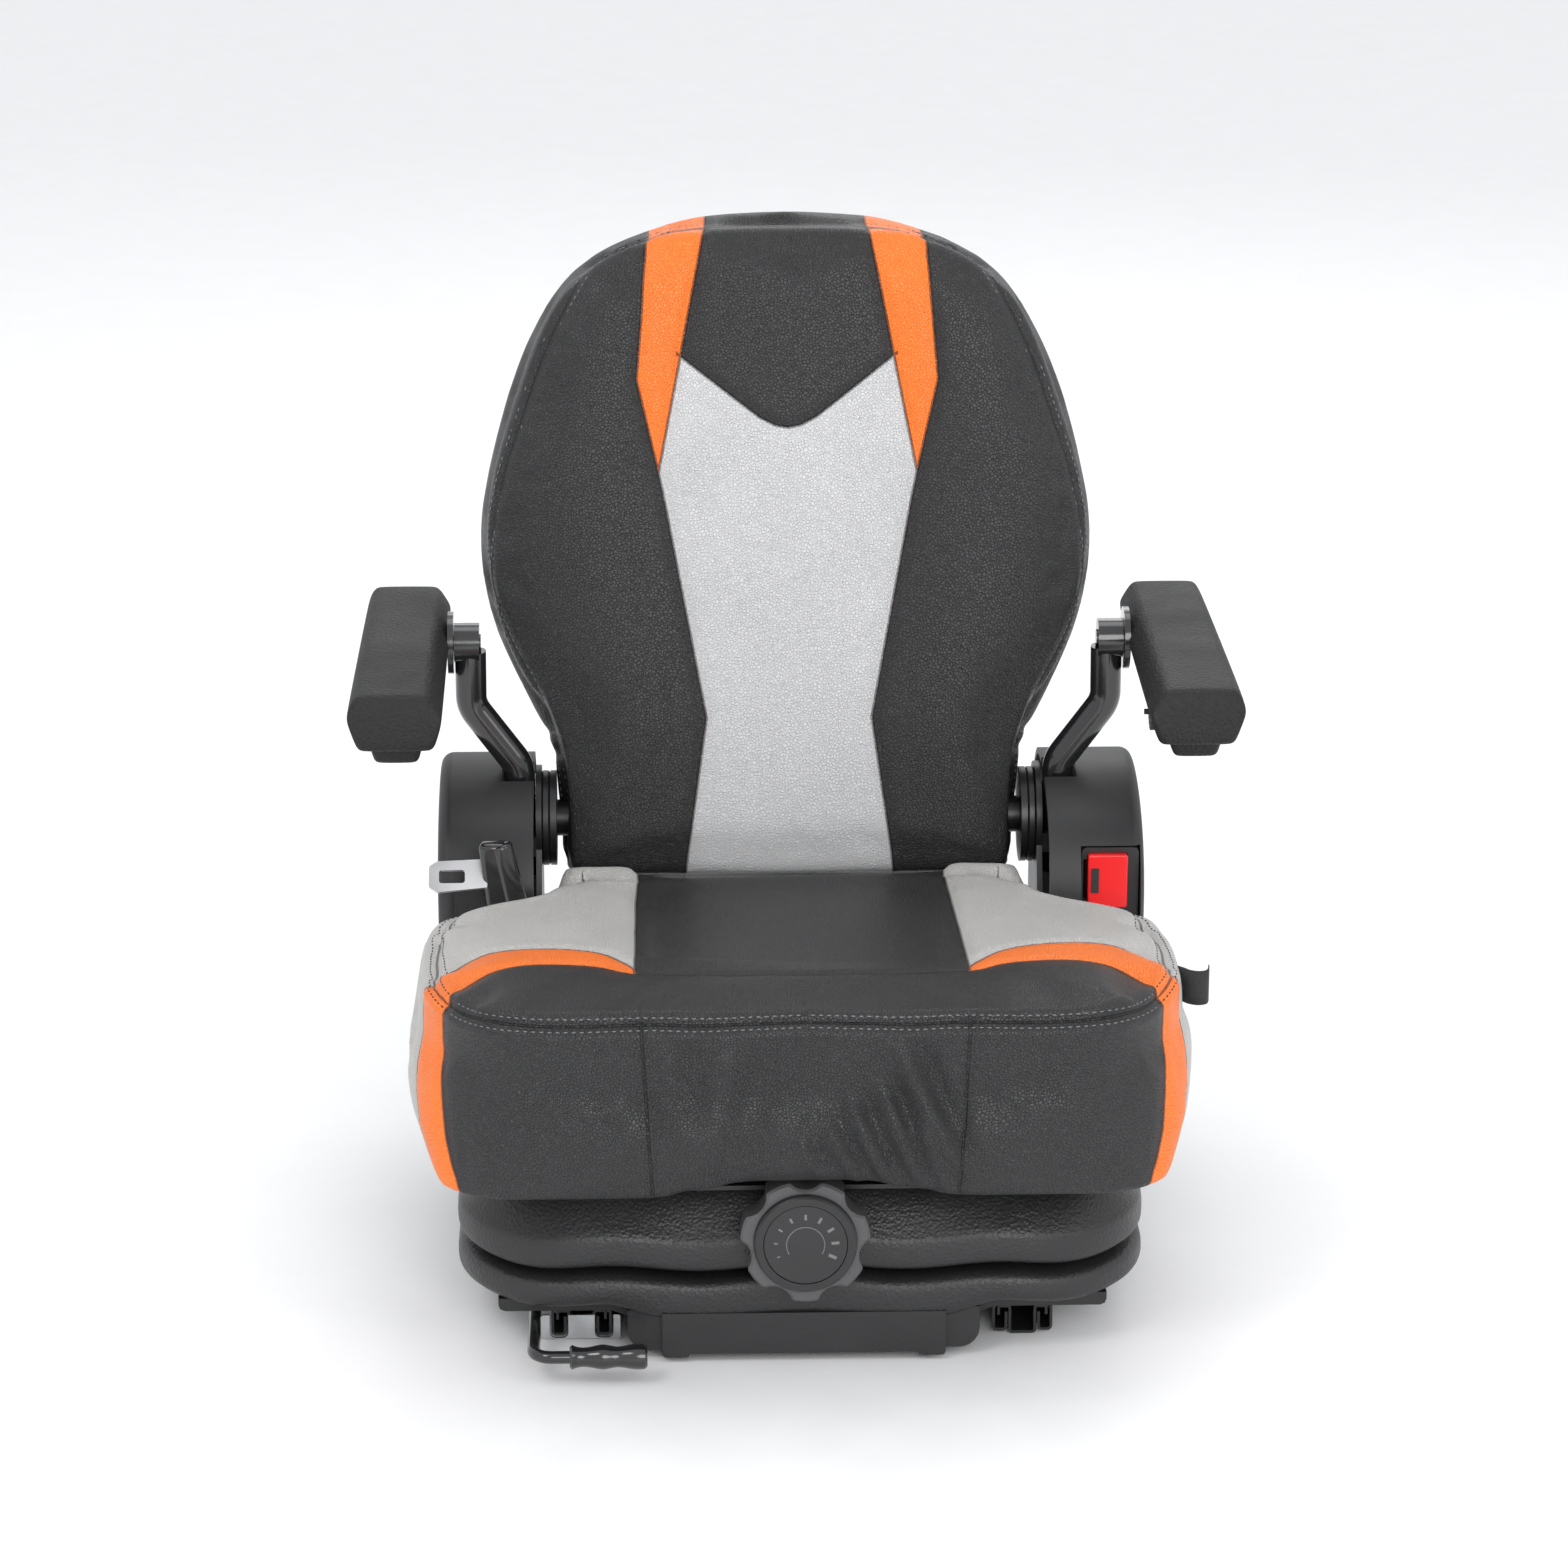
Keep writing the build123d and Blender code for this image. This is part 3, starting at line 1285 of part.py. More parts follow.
# Bolts of the bracket feet and nuts on the recliner studs
with BuildPart() as fasteners:
    for side in (-1, 1):
        for bolt_y in foot_bolt_ys:
            with BuildSketch(Plane.XY.offset(pan_upper + foot_sheet)):
                with Locations((side * foot_bolt_x, bolt_y)):
                    RegularPolygon(6.5, 6, major_radius=False)
            extrude(amount=5.3)
            with BuildSketch(Plane.XY.offset(pan_under)):
                with Locations((side * foot_bolt_x, bolt_y)):
                    Circle(foot_bolt)
            extrude(amount=seat_pan_sheet + foot_sheet)
        with BuildSketch(beside(side * (bracket_x + bracket_sheet + 3) - 3, pivot_y, pivot_z)):
            with PolarLocations(stud_ring, 3, -75, 150, endpoint=True):
                RegularPolygon(6.5, 6, major_radius=False)
                Circle(stud_radius + run_gap, mode=Mode.SUBTRACT)
        extrude(amount=6)
save(fasteners, "fasteners")
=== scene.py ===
import math

import bmesh
import bpy
import numpy as np
from mathutils import Matrix, Vector
from mathutils.bvhtree import BVHTree


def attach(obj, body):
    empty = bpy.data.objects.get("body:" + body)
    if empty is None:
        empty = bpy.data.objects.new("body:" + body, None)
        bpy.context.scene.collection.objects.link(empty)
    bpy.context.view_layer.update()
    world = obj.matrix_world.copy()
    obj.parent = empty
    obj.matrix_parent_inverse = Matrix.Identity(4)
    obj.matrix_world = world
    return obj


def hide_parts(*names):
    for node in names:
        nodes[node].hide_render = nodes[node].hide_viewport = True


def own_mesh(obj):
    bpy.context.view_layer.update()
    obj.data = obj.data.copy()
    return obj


# Tractor suspension seat. Metres, front towards -Y, up +Z, origin at the floor bolts.
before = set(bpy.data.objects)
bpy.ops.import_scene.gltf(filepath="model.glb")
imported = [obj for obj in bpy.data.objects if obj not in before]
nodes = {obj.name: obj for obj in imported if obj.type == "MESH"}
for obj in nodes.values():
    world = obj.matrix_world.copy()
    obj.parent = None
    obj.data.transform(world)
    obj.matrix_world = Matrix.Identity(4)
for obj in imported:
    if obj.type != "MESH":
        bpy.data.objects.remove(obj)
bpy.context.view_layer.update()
scene = bpy.context.scene

# the back's own frame: X across, Y up the slope, Z out of its front
backLean = math.radians(12)
backMatrix = Matrix((
    (1, 0, 0, 0),
    (0, math.sin(backLean), -math.cos(backLean), 0.118),
    (0, math.cos(backLean), math.sin(backLean), 0.228),
    (0, 0, 0, 1),
))
# the line that the back turns on
hingeLine = (0, 0.17, 0.257)


# small tools
def addPiece(name, mesh, material, body, replaced=()):
    piece = bpy.data.objects.new(name, mesh)
    scene.collection.objects.link(piece)
    mesh.materials.clear()
    mesh.materials.append(material)
    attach(piece, body)
    if replaced:
        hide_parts(*replaced)
    return piece


def shadeSmooth(mesh, smooth=True):
    mesh.polygons.foreach_set("use_smooth", [smooth] * len(mesh.polygons))
    return mesh


def toMesh(name, bm, smooth=True):
    mesh = bpy.data.meshes.new(name)
    bm.to_mesh(mesh)
    bm.free()
    return shadeSmooth(mesh, smooth)


def copyNode(name):
    bm = bmesh.new()
    bm.from_mesh(nodes[name].data)
    bmesh.ops.remove_doubles(bm, verts=bm.verts, dist=1e-6)
    return bm


def onlyVerts(geom):
    return [g for g in geom if isinstance(g, bmesh.types.BMVert)]


def roundEdges(bm, edges, offset, segments=3):
    bmesh.ops.bevel(bm, geom=edges, offset=offset, segments=segments, profile=0.5, affect="EDGES", material=-1)


def bakeModifiers(piece):
    graph = bpy.context.evaluated_depsgraph_get()
    mesh = bpy.data.meshes.new_from_object(piece.evaluated_get(graph))
    piece.modifiers.clear()
    piece.data = mesh
    return mesh


def subdivide(piece, levels):
    finer = piece.modifiers.new("finer", "SUBSURF")
    finer.levels = finer.render_levels = levels


def readPoints(mesh):
    points = np.empty(len(mesh.vertices) * 3, np.float32)
    mesh.vertices.foreach_get("co", points)
    return points.reshape(-1, 3).astype(float)


def writePoints(mesh, points):
    mesh.vertices.foreach_set("co", points.astype(np.float32).ravel())
    mesh.update()


def readNormals(mesh):
    normals = np.empty(len(mesh.vertices) * 3, np.float32)
    mesh.vertex_normals.foreach_get("vector", normals)
    return normals.reshape(-1, 3).astype(float)


def storeValue(mesh, name, values):
    layer = mesh.attributes.get(name) or mesh.attributes.new(name, "FLOAT", "POINT")
    layer.data.foreach_set("value", values.astype(np.float32))


def rampUp(x, low, high):
    t = np.clip((x - low) / (high - low), 0, 1)
    return t * t * (3 - 2 * t)


def pathLengths(path):
    # how far along a path each of its points is
    return np.concatenate([[0], np.cumsum(np.linalg.norm(np.diff(path, axis=0), axis=1))])


def smoothPath(points, step):
    # a Catmull-Rom curve through the points, at even steps
    p = np.array(points, float)
    p = np.vstack([2 * p[0] - p[1], p, 2 * p[-1] - p[-2]])
    fine = []
    for a, b, c, d in zip(p[:-3], p[1:-2], p[2:-1], p[3:]):
        square, cube = 2 * a - 5 * b + 4 * c - d, 3 * b - a - 3 * c + d
        for t in np.linspace(0, 1, 16, endpoint=False):
            fine.append(0.5 * (2 * b + (c - a) * t + square * t * t + cube * t ** 3))
    fine = np.array(fine + [p[-2]])
    lengths = pathLengths(fine)
    at = np.linspace(0, lengths[-1], max(2, int(round(lengths[-1] / step)) + 1))
    return np.stack([np.interp(at, lengths, fine[:, i]) for i in range(fine.shape[1])], axis=1)


def pathGap(points, path, normals=None):
    # shortest distance from each point to a path, in as many dimensions as both have, and the side of the path
    # that each point is on, -1 on its left, when the normals of the surface along it are given
    best, side = np.full(len(points), 1e9), np.ones(len(points))
    for number, (a, b) in enumerate(zip(path[:-1], path[1:])):
        d = b - a
        t = np.clip(((points - a) @ d) / max(d @ d, 1e-12), 0, 1)
        away = points - a - t[:, None] * d
        far = np.sum(away ** 2, axis=1)
        nearer = far < best
        best = np.where(nearer, far, best)
        if normals is not None:
            side = np.where(nearer, np.where(away @ np.cross(normals[number], d) > 0, -1.0, 1.0), side)
    return np.sqrt(best), side


def signedLine(plan, line, positive):
    return np.where(positive, 1.0, -1.0) * pathGap(plan, line)[0]


def insidePath(points, path):
    x, y = points[:, 0], points[:, 1]
    inside = np.zeros(len(points), bool)
    for (x0, y0), (x1, y1) in zip(path, np.roll(path, -1, axis=0)):
        crosses = (y0 > y) != (y1 > y)
        with np.errstate(divide="ignore", invalid="ignore"):
            inside ^= crosses & (x < (x1 - x0) * (y - y0) / (y1 - y0) + x0)
    return inside


def groove(distance, width):
    return np.exp(-((distance / width) ** 2))


def treeOf(mesh):
    return BVHTree.FromPolygons([v.co for v in mesh.vertices], [tuple(p.vertices) for p in mesh.polygons])


def castPath(tree, points, aim):
    # moves each point of a path onto a surface: aim gives its direction and how far back the ray starts
    places, normals = [], []
    for p in points:
        direction, start = aim(p)
        place, normal, _, _ = tree.ray_cast(Vector(p) - direction * start, direction)
        if place is not None:
            places.append(place)
            normals.append(normal)
    return np.array(places), np.array(normals)


# padded forms
def padForm(name, bm, looks, isHeld):
    # one closed skin round the solids in bm, smoothed, blown up as cloth and made finer
    form = bpy.data.objects.new(name, toMesh(name, bm))
    scene.collection.objects.link(form)
    remesh = form.modifiers.new("remesh", "REMESH")
    remesh.mode = "VOXEL"
    remesh.voxel_size = looks["voxel"]
    mesh = bakeModifiers(form)
    bm = bmesh.new()
    bm.from_mesh(mesh)
    for _ in range(looks["smoothings"]):
        bmesh.ops.smooth_vert(bm, verts=bm.verts, factor=0.5, use_axis_x=True, use_axis_y=True, use_axis_z=True)
    bm.normal_update()
    for v in bm.verts:
        v.co -= v.normal * looks["shrink"]
    bm.to_mesh(mesh)
    bm.free()
    inflate(form, looks, isHeld)
    subdivide(form, 1)
    mesh = bakeModifiers(form)
    bpy.data.objects.remove(form)
    return shadeSmooth(mesh)


def inflate(form, looks, isHeld):
    start = readPoints(form.data)
    held = form.vertex_groups.new(name="held")
    held.add([int(i) for i in np.nonzero(isHeld(start))[0]], 1.0, "REPLACE")
    cloth = form.modifiers.new("cloth", "CLOTH")
    cloth.settings.use_pressure = True
    cloth.settings.uniform_pressure_force = looks["pressure"]
    cloth.settings.effector_weights.gravity = 0
    cloth.settings.vertex_group_mass = "held"
    cloth.settings.quality = 4
    cloth.point_cache.frame_start = 1
    cloth.point_cache.frame_end = looks["frames"]
    for number in range(1, looks["frames"] + 1):
        scene.frame_set(number)
    graph = bpy.context.evaluated_depsgraph_get()
    moved = readPoints(form.evaluated_get(graph).data) - start
    form.modifiers.clear()
    scene.frame_set(1)
    far = np.linalg.norm(moved, axis=1)
    moved *= np.minimum(1, looks["cap"] / np.maximum(far, 1e-9))[:, None]
    writePoints(form.data, start + moved)


threadLooks = {"spacing": 0.0052, "length": 0.0034, "width": 0.0011, "flatness": 1.2}


def sewStitches(bm, path, normals, offset=0.0):
    # thread runs over the surface beside a seam: small flattened beads, one after another
    spacing, halfWidth = threadLooks["spacing"], threadLooks["width"] / 2
    size = Matrix.Diagonal((threadLooks["length"] / 2, halfWidth, halfWidth / threadLooks["flatness"], 1))
    steps = pathLengths(path)
    for at in np.arange(spacing / 2, steps[-1], spacing):
        i = min(max(int(np.searchsorted(steps, at)), 1), len(path) - 2)
        tangent = Vector(path[i + 1] - path[i - 1]).normalized()
        normal = Vector(normals[i]).normalized()
        side = normal.cross(tangent).normalized()
        normal = tangent.cross(side).normalized()
        place = Vector([float(np.interp(at, steps, path[:, k])) for k in range(3)]) + side * offset
        turn = Matrix((tangent, side, normal)).transposed().to_4x4()
        bmesh.ops.create_uvsphere(bm, u_segments=6, v_segments=4, radius=1.0,
                                  matrix=Matrix.Translation(place) @ turn @ size)


# materials
def addNode(tree, kind, inputs=None, **settings):
    node = tree.nodes.new("ShaderNode" + kind)
    for key, value in settings.items():
        setattr(node, key, value)
    for key, value in (inputs or {}).items():
        if isinstance(value, bpy.types.NodeSocket):
            tree.links.new(value, node.inputs[key])
        else:
            node.inputs[key].default_value = value
    return node


def startMaterial(name, looks):
    material = bpy.data.materials.new(name)
    material.use_nodes = True
    tree = material.node_tree
    shader = tree.nodes["Principled BSDF"]
    shader.inputs["Metallic"].default_value = looks.get("metallic", 0.0)
    shader.inputs["Roughness"].default_value = looks["roughness"]
    shader.inputs["Specular IOR Level"].default_value = looks.get("specular", 0.5)
    shader.inputs["Coat Weight"].default_value = looks.get("coat", 0.0)
    shader.inputs["Coat Roughness"].default_value = 0.1
    where = addNode(tree, "TexCoord").outputs["Object"]
    return material, tree, shader, where


def calculate(tree, operation, *values):
    return addNode(tree, "Math", dict(enumerate(values)), operation=operation).outputs[0]


def mixColour(tree, factor, a, b, blend="MIX"):
    return addNode(tree, "Mix", {0: factor, 6: a, 7: b}, data_type="RGBA", blend_type=blend).outputs[2]


def mapRange(tree, value, fromLow, fromHigh, toLow=0.0, toHigh=1.0):
    return addNode(tree, "MapRange", dict(enumerate((value, fromLow, fromHigh, toLow, toHigh)))).outputs[0]


def readAttribute(tree, name):
    return addNode(tree, "Attribute", attribute_name=name).outputs["Fac"]


def addNoise(tree, where, scale, detail, output=0):
    return addNode(tree, "TexNoise", {"Vector": where, "Scale": scale, "Detail": detail}).outputs[output]


def addBump(tree, shader, depth, height, **inputs):
    bump = addNode(tree, "Bump", {"Strength": 1.0, "Distance": depth, "Height": height, **inputs}).outputs[0]
    tree.links.new(bump, shader.inputs["Normal"])
    return bump


patchEdges = (0.3, 0.7)


def varyRoughness(tree, shader, where, looks):
    # patches with more or less gloss; gives them back as a value from 0 to 1
    noise = addNoise(tree, where, looks.get("patchScale", 18.0), 4.0)
    spread = looks.get("roughnessSpread", 0.06)
    rough = mapRange(tree, noise, *patchEdges, looks["roughness"] - spread, looks["roughness"] + spread)
    tree.links.new(rough, shader.inputs["Roughness"])
    return mapRange(tree, noise, *patchEdges)


def mottle(tree, patches, colour, darkest):
    tint = mixColour(tree, patches, (darkest, darkest, darkest, 1), (1, 1, 1, 1))
    return mixColour(tree, 1.0, colour, tint, "MULTIPLY")


def makePlain(name, looks):
    # moulded plastic, paint or metal: tinted patches, fine grain and varied gloss
    material, tree, shader, where = startMaterial(name, looks)
    patches = varyRoughness(tree, shader, where, looks)
    tint = looks.get("tint", 0.1)
    low = [c * (1 - tint) for c in looks["colour"]]
    high = [min(1, c * (1 + tint)) for c in looks["colour"]]
    tree.links.new(mixColour(tree, patches, (*low, 1), (*high, 1)), shader.inputs["Base Color"])
    grain = addNoise(tree, where, looks["grainScale"], 3.0)
    if looks.get("pebble"):
        cells = addNode(tree, "TexVoronoi", {"Vector": where, "Scale": looks["grainScale"]}).outputs[0]
        grain = calculate(tree, "ADD", grain, mapRange(tree, cells, 0.0, 0.7, 0.8, 0.0))
    addBump(tree, shader, looks["grainDepth"], grain)
    return material


def makeLeather(name, looks, panels, seams):
    # panels is called with the tree and gives the colour; seams are the attributes with a sewn line at 0,
    # each with the attribute of how far it reaches, if it has one
    material, tree, shader, where = startMaterial(name, looks)
    patches = varyRoughness(tree, shader, where, looks)
    colour = mottle(tree, patches, panels(tree), looks["darkest"])
    wobble = addNoise(tree, where, looks["grainScale"] * 0.6, 2.0, 1)
    shift = addNode(tree, "VectorMath", {0: wobble, 3: looks["wobble"]}, operation="SCALE").outputs[0]
    shifted = addNode(tree, "VectorMath", {0: where, 1: shift}, operation="ADD").outputs[0]
    cells = addNode(tree, "TexVoronoi", {"Vector": shifted, "Scale": looks["grainScale"]},
                    feature="DISTANCE_TO_EDGE").outputs[0]
    soft = calculate(tree, "MULTIPLY", addNoise(tree, where, looks["softScale"], 3.0), looks["softness"])
    height = calculate(tree, "ADD", mapRange(tree, cells, 0.0, looks["creaseWidth"]), soft)
    sewn = 0.0
    for attribute, reach in seams.items():
        away = calculate(tree, "ABSOLUTE", readAttribute(tree, attribute))
        line = mapRange(tree, away, looks["seamWidth"] * 0.3, looks["seamWidth"], 1.0, 0.0)
        if reach:
            near = mapRange(tree, readAttribute(tree, reach), *looks["reachEdges"], 1.0, 0.0)
            line = calculate(tree, "MULTIPLY", line, near)
        sewn = calculate(tree, "MAXIMUM", sewn, line)
    shade = calculate(tree, "MULTIPLY", sewn, looks["seamShade"])
    tree.links.new(mixColour(tree, shade, colour, looks["seamColour"]), shader.inputs["Base Color"])
    grain = addBump(tree, shader, looks["grainDepth"], height)
    addBump(tree, shader, looks["seamDepth"], calculate(tree, "MULTIPLY", sewn, -1.0), Normal=grain)
    return material


def panelStep(tree, attribute, edge=0.0002):
    return mapRange(tree, readAttribute(tree, attribute), -edge, edge)


leatherTones = {"black": (0.024, 0.024, 0.025, 1), "lightGrey": (0.61, 0.61, 0.615, 1),
                "warmGrey": (0.55, 0.54, 0.52, 1), "orange": (1.0, 0.21, 0.025, 1)}


def backPanels(tree):
    middle = mixColour(tree, panelStep(tree, "headPanel"), leatherTones["lightGrey"], leatherTones["black"])
    outer = mixColour(tree, panelStep(tree, "stripeEdge"), leatherTones["orange"], leatherTones["black"])
    return mixColour(tree, panelStep(tree, "sidePanel"), middle, outer)


def cushionPanels(tree):
    behind = mixColour(tree, panelStep(tree, "centrePanel"), leatherTones["black"], leatherTones["warmGrey"])
    striped = mixColour(tree, panelStep(tree, "stripeRear"), leatherTones["orange"], behind)
    return mixColour(tree, panelStep(tree, "stripeFront"), leatherTones["black"], striped)


leatherLooks = {
    "roughness": 0.42, "roughnessSpread": 0.025, "specular": 0.45, "darkest": 0.93, "grainScale": 480.0,
    "grainDepth": 0.00042, "wobble": 0.0016, "creaseWidth": 0.16, "softScale": 70.0, "softness": 0.3,
    "seamWidth": 0.0013, "seamDepth": 0.0008, "seamShade": 0.72, "seamColour": (0.012, 0.012, 0.012, 1),
    "reachEdges": (0.006, 0.008),
}
backLeather = makeLeather("backLeather", leatherLooks, backPanels,
                          {"sidePanel": None, "stripeEdge": None, "headPanel": None, "edgeSeam": None})
cushionLeather = makeLeather("cushionLeather", leatherLooks, cushionPanels,
                             {"centrePanel": "centreReach", "stripeFront": None, "stripeRear": None,
                              "topSeam": "topReach", "frontSeam": None})
print("leather made")

# colour, roughness, scale and depth of the grain, and what else differs
finishes = {
    "armrestSkin": ((0.0125, 0.0125, 0.013), 0.6, 420.0, 0.0006, {"specular": 0.35, "pebble": True}),
    "mouldedPlastic": ((0.019, 0.019, 0.02), 0.48, 900.0, 0.00012, {}),
    "shellPlastic": ((0.018, 0.018, 0.019), 0.5, 420.0, 0.0002, {"pebble": True}),
    "dialPlastic": ((0.02, 0.02, 0.021), 0.4, 900.0, 0.00008, {}),
    "dialPrint": ((0.16, 0.16, 0.165), 0.45, 1500.0, 0.0001, {}),
    "tubePaint": ((0.012, 0.012, 0.013), 0.16, 260.0, 0.00006, {"coat": 0.6, "roughnessSpread": 0.04}),
    "tubMoulding": ((0.016, 0.016, 0.017), 0.32, 500.0, 0.0001, {}),
    "blackPaint": ((0.014, 0.014, 0.015), 0.38, 380.0, 0.0001, {}),
    "zincPlate": ((0.55, 0.56, 0.57), 0.34, 260.0, 0.00005, {"metallic": 1.0, "tint": 0.18, "patchScale": 60.0}),
    "brightSteel": ((0.62, 0.62, 0.63), 0.24, 700.0, 0.00004, {"metallic": 1.0}),
    "tonguePlate": ((0.8, 0.8, 0.81), 0.36, 300.0, 0.00003, {"metallic": 1.0, "roughnessSpread": 0.03}),
    "nylon": ((0.6, 0.59, 0.55), 0.45, 600.0, 0.00005, {}),
    "redPlastic": ((0.83, 0.006, 0.008), 0.3, 500.0, 0.00004, {"coat": 0.3}),
    "bellowsRubber": ((0.019, 0.019, 0.02), 0.42, 420.0, 0.0003, {"pebble": True, "roughnessSpread": 0.08}),
    "threadBlack": ((0.02, 0.02, 0.021), 0.6, 2500.0, 0.0001, {}),
    # the dark thread painted a lighter grey: painted highlight where the stitches catch the light
    "threadHighlightGrey": ((0.16, 0.16, 0.165), 0.6, 2500.0, 0.0001, {}),
}
columns = ("colour", "roughness", "grainScale", "grainDepth")
finish = {name: makePlain(name, {**dict(zip(columns, row)), **row[4]}) for name, row in finishes.items()}


def makeWeave(name, looks):
    # belt webbing: two crossed waves of yarn with a rough, matt surface
    material, tree, shader, where = startMaterial(name, looks)
    patches = varyRoughness(tree, shader, where, looks)
    waves = [addNode(tree, "TexWave", {"Vector": where, "Scale": scale, "Distortion": distortion},
                     bands_direction=axis).outputs[1] for axis, scale, distortion in looks["waves"]]
    yarn = calculate(tree, "MULTIPLY", *waves)
    colour = mixColour(tree, yarn, (*looks["gapColour"], 1), (*looks["colour"], 1))
    worn = mixColour(tree, calculate(tree, "MULTIPLY", patches, 0.3), colour, (*looks["wornColour"], 1))
    tree.links.new(worn, shader.inputs["Base Color"])
    addBump(tree, shader, looks["yarnDepth"], yarn)
    return material


finish["webbing"] = makeWeave("webbing", {
    "colour": (0.03, 0.03, 0.032), "gapColour": (0.008, 0.008, 0.009), "wornColour": (0.05, 0.05, 0.052),
    "roughness": 0.7, "yarnDepth": 0.0003, "waves": (("Z", 190.0, 0.4), ("X", 240.0, 0.3)),
})


def makeKnob(name, looks):
    # the lobes are a lighter grey than the raised ring inside them
    material, tree, shader, where = startMaterial(name, looks)
    patches = varyRoughness(tree, shader, where, looks)
    apart = addNode(tree, "SeparateXYZ", {0: where}).outputs
    up = calculate(tree, "SUBTRACT", apart[2], looks["axisHeight"])
    square = calculate(tree, "ADD", calculate(tree, "MULTIPLY", apart[0], apart[0]),
                       calculate(tree, "MULTIPLY", up, up))
    edge = looks["ringRadius"] ** 2
    lobes = mapRange(tree, square, edge * 0.995, edge * 1.005)
    colour = mixColour(tree, lobes, (*looks["ringColour"], 1), (*looks["lobeColour"], 1))
    tree.links.new(mottle(tree, patches, colour, looks["darkest"]), shader.inputs["Base Color"])
    addBump(tree, shader, looks["grainDepth"], addNoise(tree, where, looks["grainScale"], 3.0))
    return material


finish["knobPlastic"] = makeKnob("knobPlastic", {
    "axisHeight": 0.0955, "ringRadius": 0.0342, "ringColour": (0.019, 0.019, 0.02),
    "lobeColour": (0.085, 0.085, 0.087), "darkest": 0.86, "roughness": 0.4, "grainScale": 900.0,
    "grainDepth": 0.0001,
})

nodeFinish = {
    "mouldedPlastic": ("console_left", "console_right", "buckle_body", "recline_grip", "armrest_adjuster_left",
                       "armrest_adjuster_right"),
    "shellPlastic": ("backrest_shell",),
    "dialPlastic": ("knob_dial",),
    "tubePaint": ("arm_tube_left", "arm_tube_right", "slide_lever", "lever_grip", "armrest_hub_left",
                  "armrest_hub_right"),
    "tubMoulding": ("base_trough",),
    "blackPaint": ("upper_rail_left", "upper_rail_right", "lower_rail_left", "lower_rail_right", "scissor_outer",
                   "scissor_inner", "damper_body", "upper_frame", "seat_pan", "side_bracket_left",
                   "side_bracket_right", "recliner_left", "recliner_right", "recliner_moving", "backrest_frame",
                   "belt_retractor", "buckle_stalk", "recline_lever", "tube_clamps", "base_pan"),
    "zincPlate": ("rail_stop", "tension_bar", "fasteners"),
    "brightSteel": ("base_pins", "frame_pins", "scissor_pins", "damper_rod", "weight_spindle",
                    "belt_spool"),
    "knobPlastic": ("weight_knob",),
    "webbing": ("belt_webbing",),
    "nylon": ("rail_glides", "rollers_lower", "rollers_upper"),
    "redPlastic": ("buckle_button",),
}
for key, names in nodeFinish.items():
    for name in names:
        nodes[name].data.materials.clear()
        nodes[name].data.materials.append(finish[key])
print("finishes made")

# the back cushion, in its own frame until it is finished
backLooks = {
    "voxel": 0.0052, "smoothings": 3, "shrink": 0.0022, "pressure": 4.0, "frames": 20, "cap": 0.005,
    "cutDepth": 0.03, "thickness": 0.0705, "heldBehind": -0.06, "grooveDepth": 0.0016, "grooveWidth": 0.0042,
    "edgeGrooveDepth": 0.0022, "puffDepth": 0.0007, "puffOffset": 0.006, "puffWidth": 0.004,
    "crown": 0.005, "bolsterWidth": 0.11, "middleCrown": 0.0025, "middleHalf": 0.075, "footDrop": 0.005,
    "sweep": 0.0606, "stitchOffset": 0.0038,
    # from where to where each effect fades in, by normal or by height
    "faceRamp": (0.2, 0.75), "rimRamp": (-0.3, 0.1), "crownRamp": (0.0, 0.12), "footRamp": (-0.02, -0.002),
}
# half of each sewn line, as distance from the middle and height up the slope
sideLine = np.array([(0.0755, -0.02), (0.075, -0.002), (0.0585, 0.114), (0.087, 0.268), (0.091, 0.2875),
                     (0.075, 0.369), (0.056, 0.468), (0.05, 0.5)])
stripeLine = np.vstack([sideLine[:5], [(0.106, 0.3525), (0.097, 0.459), (0.094, 0.5)]])
headLine = np.array([(-0.02, 0.3205), (0.0, 0.3188), (0.009, 0.3205), (0.02, 0.3262), (0.045, 0.3455),
                     (0.075, 0.369), (0.1, 0.388)])
edgeHalf = [(0.0, 0.4605), (0.05, 0.4605), (0.078, 0.4575), (0.096, 0.452), (0.131, 0.435), (0.148, 0.416),
            (0.17, 0.374), (0.188, 0.325), (0.202, 0.283), (0.21, 0.241), (0.209, 0.206), (0.197, 0.17),
            (0.179, 0.135), (0.169, 0.106), (0.162, 0.074), (0.159, 0.04), (0.158, 0.012)]

bm = copyNode("backrest_cushion")
bmesh.ops.transform(bm, matrix=backMatrix.inverted(), verts=bm.verts)
bmesh.ops.bisect_plane(bm, geom=bm.verts[:] + bm.edges[:] + bm.faces[:], plane_co=(0, 0, -backLooks["cutDepth"]),
                       plane_no=(0, 0, 1), clear_inner=True)
grown = bmesh.ops.extrude_edge_only(bm, edges=[e for e in bm.edges if e.is_boundary])["geom"]
bmesh.ops.translate(bm, vec=(0, 0, backLooks["cutDepth"] - backLooks["thickness"]), verts=onlyVerts(grown))
bmesh.ops.holes_fill(bm, edges=[e for e in bm.edges if e.is_boundary], sides=0)
backMesh = padForm("backForm", bm, backLooks, lambda p: p[:, 2] < backLooks["heldBehind"])

